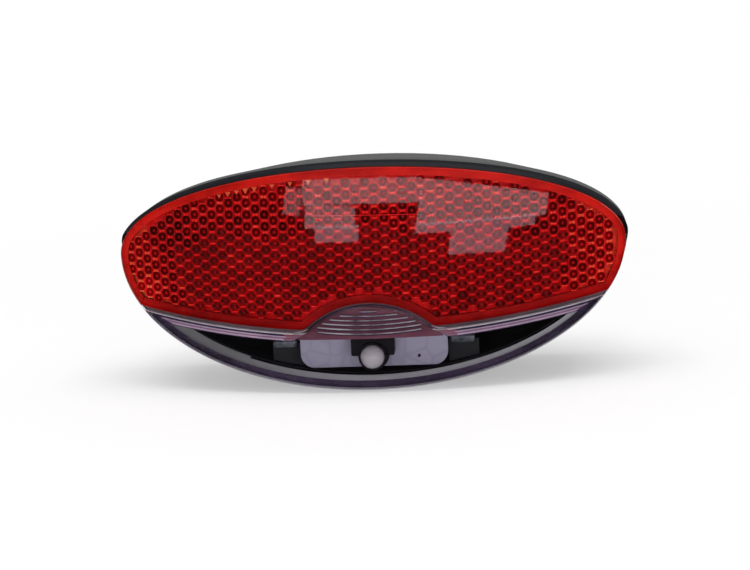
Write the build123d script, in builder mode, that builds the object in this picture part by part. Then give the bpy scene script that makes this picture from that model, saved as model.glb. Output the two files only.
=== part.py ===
"""Rear light for a bicycle carrier: a wide red reflector over a clear window with one LED.

Millimetres. X is the rider's right seen from behind, Z is up, and the light faces -Y.
The origin is the middle of the two mounting studs, on the flat back that meets the carrier.
"Forward" is the distance in front of that back, so forward = -y.
"""
from build123d import *
import os

# Lens outline, seen from the front: half an ellipse above the tips and half an ellipse below
lens_half_width = 54.0
lens_rise = 18.3
body_drop = 28.0
lens_below_body = 0.8
lens_drop = body_drop + lens_below_body
tip_level = 5.0

# The lens front is a piece of a ball
apex_forward = 38.0
front_radius = 104.0
skin = 2.0
lens_depth = 8.0
red_wall = 1.6
clear_wall = 1.6

# Dividing line between the red lens and the clear window, with a bump in its middle
divider_level = -15.6
divider_radius = 260.0
bump_rise = 5.9
bump_radius = 19.0
bump_corner_radius = 2.2
lens_joint_gap = 0.08

# The clear window stands a little proud of the red lens, inside a flush lip
window_proud = 0.6
window_lip = 0.8
window_edge_inset = 0.3
rib_count = 6
rib_pitch = 0.97
rib_width = 0.55
rib_depth = 0.6
rib_bow_radius = 90.0
rib_top_margin = 2.0
rib_side_margin = 1.1

# Rows of reflector prisms on the back of the red skin, drawn as plain ridges
prism_row_pitch = 2.443
prism_row_height = 0.8
prism_root_depth = 0.8
prism_wall_overlap = 0.3

# Sealed plate behind the reflector prisms
back_plate_inset = 0.1
back_plate_set_back = 3.6
back_plate_thickness = 1.0

# Seal between the lenses and the housing
seal_thickness = 0.8
seal_width = 1.6
seal_gap = 0.05

# Housing
rim_lip = 0.9
rim_lip_clearance = 0.1
rim_lower_grow = 0.4
lip_set_back = 1.5
lip_end_below_tips = 2.0
lip_end_slant = 35.0
flange_depth = 2.0
seat_width = 2.4
seat_lower_width = 1.9
body_half_width = 50.5
body_rise = 17.5
flare_half_width = 67.0
flare_rise = 19.7
flare_below_body = 2.1
flare_drop = body_drop + flare_below_body
body_wall = 2.0
back_wall = 3.5
back_edge_radius = 2.5

# Snap arms of the lenses and the catches in the housing
arm_width = 5.0
arm_thickness = 1.5
arm_reach = 8.0
arm_root_depth = 1.3
arm_root_height = 6.5
barb_height = 0.9
barb_length = 2.0
catch_length = 1.6
catch_height = 7.0
catch_gap = 0.25
arm_seat_clearance = 1.1
red_arm_x = 28.0
red_arm_level = 10.6
clear_arm_x = 19.0
clear_arm_above_bottom = 8.2
clear_arm_level = clear_arm_above_bottom - lens_drop

# Mounting studs: hexagon bolts held in bosses on the back wall
stud_spacing = 80.0
bolt_radius = 2.5
bolt_length = 20.0
bolt_neck_radius = 2.24
bolt_hole_clearance = 0.1
head_across_flats = 8.0
head_height = 3.5
head_clearance = 0.15
head_sides = 6
head_chamfer = 0.5
head_taper = 20
bolt_tip_chamfer = 0.6
boss_radius = 6.9
boss_above_head = 0.6
star_washer_radius = 5.0
star_washer_thickness = 0.5
star_washer_teeth = 6
star_washer_slot = 0.9
star_recess_depth = 0.7
star_recess_clearance = 0.4
bolt_seal_radius = 4.2
bolt_seal_thickness = 0.8
bolt_seal_clearance = 0.1
strip_thickness = 0.4

# Circuit board
board_width = 31.5
board_height = 25.4
board_floor_gap = 0.6
board_thickness = 1.6
board_front = 26.0
board_corner_radius = 3.0
post_radius = 2.5
post_x = 12.3
upper_post_below_top = 4.0
lower_post_x = 13.2
lower_post_above_bottom = 2.6
lower_post_radius = 1.9
board_screw_radius = 1.1
board_screw_length = 6.5
board_screw_head_radius = 2.1
board_screw_head_height = 1.5
board_screw_slot_width = 0.6
board_screw_slot_depth = 0.6
board_hole_clearance = 0.15
screw_thread_clearance = 0.02
lead_hole_radius = 0.45
via_radius = 0.35
via_x = 9.6
via_above_bottom = 2.0

# LED and its holder
led_above_bottom = 3.0
led_radius = 2.5
led_length = 6.9
led_flange_radius = 2.9
led_flange_thickness = 1.0
led_base_gap = 0.2
led_fit = 0.06
holder_width = 9.2
holder_height = 4.4
holder_depth = 3.4
holder_edge = 0.4
collar_wall = 0.4
collar_length = 4.8
collar_base_wall = 0.4
collar_base_length = 1.7
led_lead_size = 0.5
led_lead_pitch = 2.54
led_lead_tail = 1.0
cup_radius = 0.8
cup_floor_radius = 0.4
cup_depth = 0.5
cup_height = 0.8
cup_forward = 3.4
anvil_depth = 0.9
chip_size = 0.35
chip_height = 0.2

# Parts soldered to the rear of the board
capacitor_radius = 6.4
capacitor_height = 5.6
capacitor_below_top = 8.3
capacitor_edge = 0.5
capacitor_base_height = 0.7
capacitor_base_inset = 0.3
capacitor_leg_width = 1.2
capacitor_leg_thickness = 0.3
capacitor_leg_reach = 1.1
capacitor_leg_cover = 1.4
part_fit = 0.03
rectifier_height = 6.6
rectifier_width = 4.0
rectifier_depth = 2.4
rectifier_below_top = 12.5
rectifier_leg_pitch = 5.0
diode_width = 4.4
diode_height = 3.0
diode_depth = 2.1
diode_below_top = 9.6
transistor_width = 2.9
transistor_height = 1.4
transistor_depth = 1.0
transistor_below_top = 13.5
transistor_leg_pitch = 1.9
resistor_length = 3.2
resistor_height = 1.6
resistor_depth = 0.6
resistor_cap = 0.5
side_resistor_below_top = 17.0
middle_resistor_below_top = 18.7
middle_resistor_x = 3.2
leg_width = 0.7
leg_thickness = 0.2
leg_foot = 0.9
leg_rise_share = 0.45
tab_width = 1.6

# Spade terminals through the back wall, and the strip from one stud to the ground terminal
terminal_x = 8.5
terminal_above_bottom = 4.1
terminal_width = 2.8
terminal_thickness = 0.8
terminal_tail = 8.0
terminal_tip_chamfer = 0.7
terminal_hole_radius = 0.6
terminal_slot_clearance = 0.08
strip_width = 4.0
strip_eye_radius = 4.2
strip_knee_x = 18.0
strip_knee_level = -13.0
strip_pad_radius = 2.6
strip_clearance = 0.1

# Solder
solder_height = 0.7
solder_foot = 0.7
solder_neck = 0.15

# One overrun serves all cuts
overrun = 1.0

lens_centre = (0, front_radius - apex_forward, tip_level)
seat_radius = front_radius - lens_depth - seal_thickness
field = lens_half_width + lens_drop
divider_centre = tip_level + divider_level + divider_radius
bump_centre = tip_level + divider_level + bump_rise - bump_radius
board_back = board_front - board_thickness
head_seat = back_wall + strip_thickness
bolt_hole_radius = bolt_radius + bolt_hole_clearance
boss_top = head_seat + head_height + boss_above_head
board_bottom = tip_level - body_drop + body_wall + board_floor_gap
board_top = board_bottom + board_height
board_z = board_bottom + board_height / 2
column_x = (board_width / 2 + capacitor_radius) / 2
screw_z = board_top - upper_post_below_top
strip_front = back_wall + strip_thickness
led_z = board_bottom + led_above_bottom
led_base = board_front + led_base_gap
led_tip = led_base + led_length
terminal_z = board_bottom + terminal_above_bottom
os.makedirs("parts", exist_ok=True)


def front_plane(forward):
    """Plane parallel to the flat back, the given distance in front of it."""
    return Plane.XZ.offset(forward)


def save(builder, name):
    """Label a finished piece and write it as its own STEP file."""
    builder.part.label = name
    export_step(builder.part, f"parts/{name}.step")


def half_ellipses(half_width, rise, drop):
    """Face bounded by one half ellipse above the tip level and one below it."""
    with BuildSketch() as shape:
        with BuildLine():
            EllipticalCenterArc((0, tip_level), half_width, rise, start_angle=0, arc_size=180)
            EllipticalCenterArc((0, tip_level), half_width, drop, start_angle=180, arc_size=180)
        make_face()
    return shape.sketch


def lens_outline(grow, lower_grow=None):
    """Outline of the lenses, grown or, with a negative number, drawn in."""
    below = grow if lower_grow is None else lower_grow
    return half_ellipses(lens_half_width + grow, lens_rise + grow, lens_drop + below)


def window_area(grow):
    """All that lies below the dividing line, with the bump, grown by the given width."""
    with BuildSketch() as area:
        Rectangle(2 * field, 2 * field)
        with Locations((0, divider_centre)):
            Circle(divider_radius - grow, mode=Mode.SUBTRACT)
        with Locations((0, bump_centre)):
            Circle(bump_radius + grow)
        corners = area.vertices().filter_by(lambda corner: abs(corner.X) < lens_half_width / 2)
        fillet(corners, bump_corner_radius - grow)
    return area.sketch


def red_profile(inset):
    """Outline of the red lens, drawn in on all its sides."""
    with BuildSketch() as shape:
        add(lens_outline(-inset))
        add(window_area(lens_joint_gap + inset), mode=Mode.SUBTRACT)
    return shape.sketch


def clear_profile(inset, edge_inset):
    """Outline of the clear lens, drawn in by one width at the divider and one at the rim."""
    with BuildSketch() as shape:
        add(lens_outline(-edge_inset))
        add(window_area(-inset), mode=Mode.INTERSECT)
    return shape.sketch


def ring_profile(outer, inner):
    """Area between two faces."""
    with BuildSketch() as shape:
        add(outer)
        add(inner, mode=Mode.SUBTRACT)
    return shape.sketch


def curved_slab(profile, outer_radius, inner_radius):
    """Solid of a profile between two balls that share the centre of the lens front."""
    with BuildPart() as slab:
        with BuildSketch(Plane.XZ):
            add(profile)
        extrude(amount=apex_forward + window_proud + overrun)
        with Locations(lens_centre):
            Sphere(outer_radius, mode=Mode.INTERSECT)
            Sphere(inner_radius, mode=Mode.SUBTRACT)
    return slab.part


def seat_forward(x, level):
    """Forward distance of the housing seat at a place in the front view."""
    drop = (seat_radius ** 2 - x ** 2 - level ** 2) ** (1 / 2)
    return drop - lens_centre[1]


def block(x, z, width, height, back, front):
    """Plain block centred at x, z in the front view, between two forward distances."""
    with BuildPart() as piece:
        with BuildSketch(front_plane(back)):
            with Locations((x, z)):
                Rectangle(width, height)
        extrude(amount=front - back)
    return piece.part


def round_post(x, z, radius, back, front):
    """Plain round post centred at x, z in the front view."""
    with BuildPart() as piece:
        with BuildSketch(front_plane(back)):
            with Locations((x, z)):
                Circle(radius)
        extrude(amount=front - back)
    return piece.part


def snap_arm(x, level, up):
    """Arm that runs back from a lens wall, with a barb facing the housing wall."""
    edge = tip_level + level
    seat = seat_forward(x, level) + seal_thickness
    tip = seat - arm_reach
    root = seat + arm_seat_clearance
    with BuildPart() as arm:
        middle = edge - up * arm_thickness / 2
        add(block(x, middle, arm_width, arm_thickness, tip, root + arm_root_depth))
        web = edge + up * (arm_root_height / 2 - arm_thickness)
        add(block(x, web, arm_width, arm_root_height, root, root + arm_root_depth))
        barb = edge + up * barb_height / 2
        add(block(x, barb, arm_width, barb_height, tip, tip + barb_length))
    return arm.part


def catch(x, level, up):
    """Ledge on the housing wall that the barb of an arm holds behind."""
    near = tip_level + level + up * catch_gap
    seat = seat_forward(x, level) + seal_thickness
    back = seat - arm_reach + barb_length + catch_gap
    middle = near + up * catch_height / 2
    return block(x, middle, arm_width + arm_thickness, catch_height, back, back + catch_length)


def prism_level(row):
    """Height over the lens tips of the valley below a row of prisms."""
    return row * prism_row_pitch


def on_section(radius, level):
    """Point of the section through the middle of the lens, from the centre of its ball."""
    return ((radius ** 2 - level ** 2) ** (1 / 2), level)


# Ridges that lie in level rows on the back of the skin
skin_back = front_radius - skin
first_row = -int(lens_drop / prism_row_pitch)
last_row = int(lens_rise / prism_row_pitch)
ridge_line = [on_section(skin_back, prism_level(first_row))]
for row in range(first_row, last_row):
    ridge_line.append(on_section(skin_back - prism_row_height, prism_level(row + 1 / 2)))
    ridge_line.append(on_section(skin_back, prism_level(row + 1)))
root_line = [
    on_section(skin_back + prism_root_depth, prism_level(row)) for row in range(last_row, first_row - 1, -1)
]
with BuildPart() as prism_rows:
    with BuildSketch(Plane(lens_centre, x_dir=(0, -1, 0), z_dir=(-1, 0, 0))):
        with BuildLine():
            Polyline(ridge_line + root_line, close=True)
        make_face()
    revolve(axis=Axis(lens_centre, (0, 0, 1)))
    with BuildSketch(Plane.XZ):
        add(red_profile(red_wall - prism_wall_overlap))
    extrude(amount=apex_forward, mode=Mode.INTERSECT)

# Red lens: curved skin with the rows of prisms, a wall all round and two snap arms
red_skin = curved_slab(red_profile(0), front_radius, front_radius - skin)
red_rim = curved_slab(
    ring_profile(red_profile(0), red_profile(red_wall)), front_radius, front_radius - lens_depth
)
red_outside = curved_slab(red_profile(0), front_radius, front_radius / 2)
red_arms = [snap_arm(side * red_arm_x, red_arm_level, 1) for side in (-1, 1)]
with BuildPart() as red_lens:
    add(red_arms)
    add(red_outside, mode=Mode.INTERSECT)
    add(red_skin)
    add(prism_rows)
    add(red_rim)
save(red_lens, "red_lens")

# Clear lens: flush lip, proud window, a wall all round, fine ribs behind the bump, snap arms
clear_skin = curved_slab(clear_profile(0, 0), front_radius, front_radius - skin)
clear_rim = curved_slab(
    ring_profile(clear_profile(0, 0), clear_profile(clear_wall, clear_wall)),
    front_radius,
    front_radius - lens_depth,
)
proud_window = curved_slab(
    clear_profile(window_lip, window_edge_inset), front_radius + window_proud, front_radius - skin
)
clear_outside = curved_slab(clear_profile(0, 0), front_radius, front_radius / 2)
clear_arms = [snap_arm(side * clear_arm_x, clear_arm_level, -1) for side in (-1, 1)]
rib_slabs = []
for rib in range(rib_count):
    rib_level = tip_level + divider_level + bump_rise - rib_top_margin - rib * rib_pitch
    with BuildSketch() as rib_band:
        with Locations((0, rib_level + rib_bow_radius)):
            Circle(rib_bow_radius + rib_width / 2)
            Circle(rib_bow_radius - rib_width / 2, mode=Mode.SUBTRACT)
        with Locations((0, bump_centre)):
            Circle(bump_radius - rib_side_margin, mode=Mode.INTERSECT)
    rib_slabs.append(
        curved_slab(rib_band.sketch, front_radius - skin / 2, front_radius - skin - rib_depth)
    )
with BuildPart() as clear_lens:
    add(clear_arms)
    add(clear_outside, mode=Mode.INTERSECT)
    add(clear_skin)
    add(clear_rim)
    add(proud_window)
    add(rib_slabs)
save(clear_lens, "clear_lens")

# Plate that seals the air gap behind the prisms of the red lens
plate_front = front_radius - back_plate_set_back
with BuildPart() as reflector_back_plate:
    plate_profile = red_profile(red_wall + back_plate_inset)
    add(curved_slab(plate_profile, plate_front, plate_front - back_plate_thickness))
save(reflector_back_plate, "reflector_back_plate")

# Seal ring between the lens walls and the housing seat
seal_front = front_radius - lens_depth - seal_gap
with BuildPart() as lens_seal:
    add(
        curved_slab(
            ring_profile(lens_outline(-seal_gap), lens_outline(-seal_width)),
            seal_front,
            seat_radius + seal_gap,
        )
    )
save(lens_seal, "lens_seal")

# Housing: a flared tub up to the rim, a hood lip round the upper half, bosses and posts
with BuildPart() as cavity:
    with BuildSketch(front_plane(back_wall)):
        add(half_ellipses(body_half_width - body_wall, body_rise - body_wall, body_drop - body_wall))
    with BuildSketch(front_plane(apex_forward + overrun)):
        add(half_ellipses(flare_half_width - body_wall, flare_rise - body_wall, flare_drop - body_wall))
    loft()
    with BuildSketch(front_plane(back_wall)):
        add(lens_outline(-seat_width, -seat_lower_width))
    extrude(amount=apex_forward + overrun, mode=Mode.INTERSECT)

with BuildPart() as body_solid:
    with BuildSketch(Plane.XZ):
        add(half_ellipses(body_half_width, body_rise, body_drop))
    with BuildSketch(front_plane(apex_forward)):
        add(half_ellipses(flare_half_width, flare_rise, flare_drop))
    loft()
    fillet(body_solid.faces().sort_by(Axis.Y)[-1].edges(), back_edge_radius)
    with BuildSketch(Plane.XZ):
        add(lens_outline(rim_lip, rim_lower_grow))
    extrude(amount=apex_forward, mode=Mode.INTERSECT)

lip_profile = ring_profile(lens_outline(rim_lip, rim_lower_grow), lens_outline(rim_lip_clearance))
lip_ring = curved_slab(lip_profile, front_radius - lip_set_back, seat_radius - flange_depth)
lip_end_forward = seat_forward(lens_half_width, 0)
with BuildPart() as hood_lip:
    add(lip_ring)
    with Locations(
        Location((0, -lip_end_forward, tip_level - lip_end_below_tips), (-lip_end_slant, 0, 0))
    ):
        Box(
            2 * field,
            2 * field,
            2 * field,
            align=(Align.CENTER, Align.CENTER, Align.MAX),
            mode=Mode.SUBTRACT,
        )
flange = curved_slab(
    lens_outline(rim_lip, rim_lower_grow), seat_radius, seat_radius - flange_depth
)

with BuildPart() as catches:
    for side in (-1, 1):
        add(catch(side * red_arm_x, red_arm_level, 1))
        add(catch(side * clear_arm_x, clear_arm_level, -1))
    add(body_solid.part, mode=Mode.INTERSECT)


# Route of the ground strip, from the eye round one bolt to the pad at the ground terminal
strip_route = [
    (-stud_spacing / 2, 0),
    (-strip_knee_x, tip_level + strip_knee_level),
    (-terminal_x, terminal_z),
]


def strip_area(grow):
    """Flat outline of the ground strip, without its holes, grown by the given width."""
    with BuildSketch() as area:
        with BuildLine():
            Polyline(strip_route)
        trace(line_width=strip_width + 2 * grow)
        with Locations(strip_route[0]):
            Circle(strip_eye_radius + grow)
        with Locations(strip_route[-1]):
            Circle(strip_pad_radius + grow)
    return area.sketch


with BuildPart() as strip_channel:
    with BuildSketch(front_plane(back_wall)):
        add(strip_area(strip_clearance))
    extrude(amount=strip_thickness + strip_clearance)

with BuildPart() as housing:
    add(body_solid.part)
    with Locations(lens_centre):
        Sphere(seat_radius, mode=Mode.INTERSECT)
    add(flange)
    add(cavity.part, mode=Mode.SUBTRACT)
    add(hood_lip.part)
    add(catches.part)
    for side in (-1, 1):
        stud_x = side * stud_spacing / 2
        lower_z = board_bottom + lower_post_above_bottom
        add(round_post(stud_x, 0, boss_radius, back_wall / 2, boss_top))
        add(round_post(side * post_x, screw_z, post_radius, back_wall / 2, board_back))
        add(round_post(side * lower_post_x, lower_z, lower_post_radius, back_wall / 2, board_back))
    for side in (-1, 1):
        stud_x = side * stud_spacing / 2
        with BuildSketch(front_plane(strip_front)):
            with Locations((stud_x, 0)):
                RegularPolygon(head_across_flats / 2 + head_clearance, head_sides, major_radius=False)
        extrude(amount=boss_top, mode=Mode.SUBTRACT)
        bolt_hole = round_post(stud_x, 0, bolt_hole_radius, -overrun, boss_top + overrun)
        add(bolt_hole, mode=Mode.SUBTRACT)
        recess_radius = star_washer_radius + star_recess_clearance
        add(round_post(stud_x, 0, recess_radius, -overrun, star_recess_depth), mode=Mode.SUBTRACT)
        seal_recess_radius = bolt_seal_radius + bolt_seal_clearance
        seal_back = back_wall - bolt_seal_thickness
        add(round_post(stud_x, 0, seal_recess_radius, seal_back, strip_front), mode=Mode.SUBTRACT)
        pilot_radius = board_screw_radius + screw_thread_clearance
        pilot_back = board_front - board_screw_length - board_screw_radius
        add(
            round_post(side * post_x, screw_z, pilot_radius, pilot_back, board_front),
            mode=Mode.SUBTRACT,
        )
        add(
            block(
                side * terminal_x,
                terminal_z,
                terminal_width + 2 * terminal_slot_clearance,
                terminal_thickness + 2 * terminal_slot_clearance,
                -overrun,
                back_wall + overrun,
            ),
            mode=Mode.SUBTRACT,
        )
    add(strip_channel.part, mode=Mode.SUBTRACT)
save(housing, "housing")


def hexagon_bolt(x):
    """Hexagon bolt with a plain neck in the wall and a stud that stands out of the back."""
    with BuildPart() as bolt:
        with BuildSketch(front_plane(head_seat)):
            with Locations((x, 0)):
                RegularPolygon(head_across_flats / 2, head_sides, major_radius=False)
        extrude(amount=head_height)
        with BuildSketch(front_plane(head_seat)):
            with Locations((x, 0)):
                Circle(head_across_flats / 2 + head_chamfer)
        extrude(amount=head_height, taper=head_taper, mode=Mode.INTERSECT)
        add(round_post(x, 0, bolt_neck_radius, 0, head_seat))
        add(round_post(x, 0, bolt_radius, head_seat - bolt_length, 0))
        chamfer(bolt.faces().sort_by(Axis.Y)[-1].edges(), bolt_tip_chamfer)
    return bolt.part


def flat_ring(x, outer_radius, inner_radius, back, front):
    """Flat ring round a bolt."""
    with BuildPart() as ring:
        add(round_post(x, 0, outer_radius, back, front))
        add(round_post(x, 0, inner_radius, back, front), mode=Mode.SUBTRACT)
    return ring.part


def star_washer(x):
    """Push-on washer in the recess of the back, with slots between its teeth."""
    back = star_recess_depth - star_washer_thickness
    inner_radius = bolt_neck_radius + screw_thread_clearance
    with BuildPart() as washer:
        add(flat_ring(x, star_washer_radius, inner_radius, back, star_recess_depth))
        with BuildSketch(front_plane(back)):
            with Locations((x, 0)):
                with PolarLocations(inner_radius, star_washer_teeth):
                    Rectangle(2 * star_washer_slot, star_washer_slot)
        extrude(amount=star_washer_thickness, mode=Mode.SUBTRACT)
    return washer.part


# Mounting bolts, the seals under their heads and the washers that hold them in the back
with BuildPart() as mounting_bolts:
    for side in (-1, 1):
        add(hexagon_bolt(side * stud_spacing / 2))
save(mounting_bolts, "mounting_bolts")

with BuildPart() as star_washers:
    for side in (-1, 1):
        add(star_washer(side * stud_spacing / 2))
save(star_washers, "star_washers")

with BuildPart() as bolt_seals:
    for side in (-1, 1):
        stud_x = side * stud_spacing / 2
        seal_back = back_wall - bolt_seal_thickness
        add(flat_ring(stud_x, bolt_seal_radius, bolt_hole_radius, seal_back, back_wall))
save(bolt_seals, "bolt_seals")

with BuildPart() as bolt_washer:
    add(flat_ring(stud_spacing / 2, bolt_seal_radius, bolt_hole_radius, back_wall, strip_front))
save(bolt_washer, "bolt_washer")

# Circuit board, standing on four posts of the housing
lead_places = [(side * led_lead_pitch / 2, led_z) for side in (-1, 1)]
with BuildPart() as circuit_board:
    with BuildSketch(front_plane(board_back)):
        with Locations((0, board_z)):
            RectangleRounded(board_width, board_height, board_corner_radius)
        with Locations((-post_x, screw_z), (post_x, screw_z)):
            Circle(board_screw_radius + board_hole_clearance, mode=Mode.SUBTRACT)
        with Locations(lead_places):
            Circle(lead_hole_radius, mode=Mode.SUBTRACT)
        with Locations((via_x, board_bottom + via_above_bottom)):
            Circle(via_radius, mode=Mode.SUBTRACT)
    extrude(amount=board_thickness)
save(circuit_board, "circuit_board")


def board_screw(x):
    """Pan head screw through the board into a post, with a slot across its head."""
    head_top = board_front + board_screw_head_height
    with BuildPart() as screw:
        add(round_post(x, screw_z, board_screw_radius, board_front - board_screw_length, board_front))
        chamfer(screw.faces().sort_by(Axis.Y)[-1].edges(), board_screw_radius / 2)
        add(round_post(x, screw_z, board_screw_head_radius, board_front, head_top))
        fillet(screw.faces().sort_by(Axis.Y)[0].edges(), board_screw_head_height / 2)
        slot_bottom = head_top - board_screw_slot_depth
        slot_length = 2 * board_screw_head_radius
        slot = block(x, screw_z, slot_length, board_screw_slot_width, slot_bottom, head_top)
        add(slot, mode=Mode.SUBTRACT)
    return screw.part


with BuildPart() as board_screws:
    for side in (-1, 1):
        add(board_screw(side * post_x))
save(board_screws, "board_screws")

# LED: clear body with a dome and a base flange, hollow where the leads and the cup sit
cup_front = led_base + cup_forward
anvil_back = cup_front - cup_height - anvil_depth
cathode_x = -led_lead_pitch / 2
anode_x = led_lead_pitch / 2
anvil_width = led_lead_size + led_lead_pitch / 2 + cup_floor_radius
anvil_x = cathode_x - led_lead_size / 2 + anvil_width / 2
lead_back = board_back - led_lead_tail

with BuildPart() as cathode_lead:
    add(block(cathode_x, led_z, led_lead_size, led_lead_size, lead_back, cup_front - cup_height))
    add(block(anvil_x, led_z, anvil_width, led_lead_size, anvil_back, cup_front - cup_height))
    with BuildSketch(front_plane(cup_front - cup_height)):
        with Locations((0, led_z)):
            Circle(cup_floor_radius + led_lead_size / 2)
    with BuildSketch(front_plane(cup_front)):
        with Locations((0, led_z)):
            Circle(cup_radius)
    loft()
cup_solid = cathode_lead.part
with BuildPart() as cup_hollow:
    with BuildSketch(front_plane(cup_front - cup_depth)):
        with Locations((0, led_z)):
            Circle(cup_floor_radius)
    with BuildSketch(front_plane(cup_front)):
        with Locations((0, led_z)):
            Circle((cup_radius + cup_floor_radius) / 2)
    loft()
anode_post = block(anode_x, led_z, led_lead_size, led_lead_size, lead_back, cup_front)
with BuildPart() as led_leads:
    add(cup_solid)
    add(cup_hollow.part, mode=Mode.SUBTRACT)
    add(anode_post)
save(led_leads, "led_leads")

with BuildPart() as led_chip:
    add(
        block(
            0, led_z, chip_size, chip_size, cup_front - cup_depth, cup_front - cup_depth + chip_height
        )
    )
save(led_chip, "led_chip")

with BuildPart() as led_body:
    add(round_post(0, led_z, led_flange_radius, led_base, led_base + led_flange_thickness))
    add(round_post(0, led_z, led_radius, led_base, led_tip - led_radius))
    with Locations((0, led_radius - led_tip, led_z)):
        Sphere(led_radius)
    add(cup_solid, mode=Mode.SUBTRACT)
    add(anode_post, mode=Mode.SUBTRACT)
save(led_body, "led_body")

# LED holder: a block above the LED and a collar round it
collar_bore = led_radius + led_fit
flange_bore = led_flange_radius + led_fit
collar_front = board_front + collar_length
with BuildPart() as led_holder:
    holder_z = led_z + holder_height / 2
    add(block(0, holder_z, holder_width, holder_height, board_front, board_front + holder_depth))
    fillet(led_holder.edges().filter_by(Axis.Y), holder_edge)
    add(round_post(0, led_z, collar_bore + collar_wall, board_front, collar_front))
    base_top = board_front + collar_base_length
    add(round_post(0, led_z, flange_bore + collar_base_wall, board_front, base_top))
    add(round_post(0, led_z, collar_bore, board_front, collar_front), mode=Mode.SUBTRACT)
    flange_top = led_base + led_flange_thickness + led_fit
    add(round_post(0, led_z, flange_bore, board_front, flange_top), mode=Mode.SUBTRACT)
save(led_holder, "led_holder")

# Storage capacitor that keeps the LED lit when the bicycle stops
capacitor_z = board_top - capacitor_below_top
base_back = board_back - capacitor_base_height
leg_z = capacitor_radius - capacitor_leg_cover / 2 + capacitor_leg_reach / 2
leg_length = capacitor_leg_cover + capacitor_leg_reach
with BuildPart() as storage_capacitor:
    add(round_post(0, capacitor_z, capacitor_radius, base_back - capacitor_height, base_back))
    fillet(storage_capacitor.edges().filter_by(GeomType.CIRCLE), capacitor_edge)
save(storage_capacitor, "storage_capacitor")

with BuildPart() as capacitor_legs:
    for up in (-1, 1):
        leg_back = board_back - capacitor_leg_thickness
        add(block(0, capacitor_z + up * leg_z, capacitor_leg_width, leg_length, leg_back, board_back))
save(capacitor_legs, "capacitor_legs")

with BuildPart() as capacitor_base:
    base_radius = capacitor_radius - capacitor_base_inset
    add(round_post(0, capacitor_z, base_radius, base_back, board_back))
    for up in (-1, 1):
        notch_width = capacitor_leg_width + 2 * part_fit
        notch_length = leg_length + 2 * part_fit
        notch_back = board_back - capacitor_leg_thickness - part_fit
        add(
            block(0, capacitor_z + up * leg_z, notch_width, notch_length, notch_back, board_back),
            mode=Mode.SUBTRACT,
        )
save(capacitor_base, "capacitor_base")


def surface_body(x, z, width, height, depth):
    """Moulded body of a part soldered flat on the rear of the board."""
    back = board_back - leg_thickness - depth
    with BuildPart() as body:
        add(block(x, z, width, height, back, board_back - leg_thickness))
        chamfer(body.faces().sort_by(Axis.Y)[-1].edges(), leg_thickness)
    return body.part


def bent_leg(x, z, width, depth, across, out):
    """Leg that leaves a body at x, z half way up and bends down to a foot on the board."""
    rise = leg_thickness + depth * leg_rise_share
    foot = leg_foot * out
    with BuildPart() as leg:
        sizes = (leg_foot, width) if across else (width, leg_foot)
        shift = (foot / 2, 0) if across else (0, foot / 2)
        foot_back = board_back - leg_thickness
        add(block(x + shift[0], z + shift[1], sizes[0], sizes[1], foot_back, board_back))
        riser_sizes = (leg_thickness, width) if across else (width, leg_thickness)
        reach = leg_thickness / 2 * out
        riser_shift = (reach, 0) if across else (0, reach)
        riser_x = x + riser_shift[0]
        riser_z = z + riser_shift[1]
        add(block(riser_x, riser_z, riser_sizes[0], riser_sizes[1], board_back - rise, board_back))
    return leg.part


# Bridge rectifier with two legs on each side
rectifier_z = board_top - rectifier_below_top
with BuildPart() as bridge_rectifier:
    add(surface_body(-column_x, rectifier_z, rectifier_width, rectifier_height, rectifier_depth))
save(bridge_rectifier, "bridge_rectifier")

with BuildPart() as rectifier_legs:
    for out in (-1, 1):
        for up in (-1, 1):
            leg_x = -column_x + out * rectifier_width / 2
            level = rectifier_z + up * rectifier_leg_pitch / 2
            add(bent_leg(leg_x, level, leg_width, rectifier_depth, True, out))
save(rectifier_legs, "rectifier_legs")

# Diode that limits the voltage when the light runs without its front lamp
diode_z = board_top - diode_below_top
with BuildPart() as limiter_diode:
    add(surface_body(column_x, diode_z, diode_width, diode_height, diode_depth))
save(limiter_diode, "limiter_diode")

with BuildPart() as diode_tabs:
    for out in (-1, 1):
        add(bent_leg(column_x + out * diode_width / 2, diode_z, tab_width, diode_depth, True, out))
save(diode_tabs, "diode_tabs")

# Transistor that steadies the LED current
transistor_z = board_top - transistor_below_top
with BuildPart() as current_transistor:
    add(surface_body(column_x, transistor_z, transistor_width, transistor_height, transistor_depth))
save(current_transistor, "current_transistor")

with BuildPart() as transistor_legs:
    edge = transistor_height / 2
    pair_x = transistor_leg_pitch / 2
    for leg_x, out in ((-pair_x, -1), (pair_x, -1), (0, 1)):
        place = column_x + leg_x
        add(bent_leg(place, transistor_z + out * edge, leg_width, transistor_depth, False, out))
save(transistor_legs, "transistor_legs")

# Chip resistors with a metal cap on each end
resistor_places = [
    (column_x, board_top - side_resistor_below_top),
    (-middle_resistor_x, board_top - middle_resistor_below_top),
    (middle_resistor_x, board_top - middle_resistor_below_top),
]
resistor_back = board_back - resistor_depth
with BuildPart() as chip_resistors:
    for x, z in resistor_places:
        bare_length = resistor_length - 2 * resistor_cap
        add(block(x, z, bare_length, resistor_height, resistor_back, board_back))
save(chip_resistors, "chip_resistors")

with BuildPart() as resistor_caps:
    for x, z in resistor_places:
        for out in (-1, 1):
            cap_x = x + out * (resistor_length - resistor_cap) / 2
            add(block(cap_x, z, resistor_cap, resistor_height, resistor_back, board_back))
save(resistor_caps, "resistor_caps")


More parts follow.
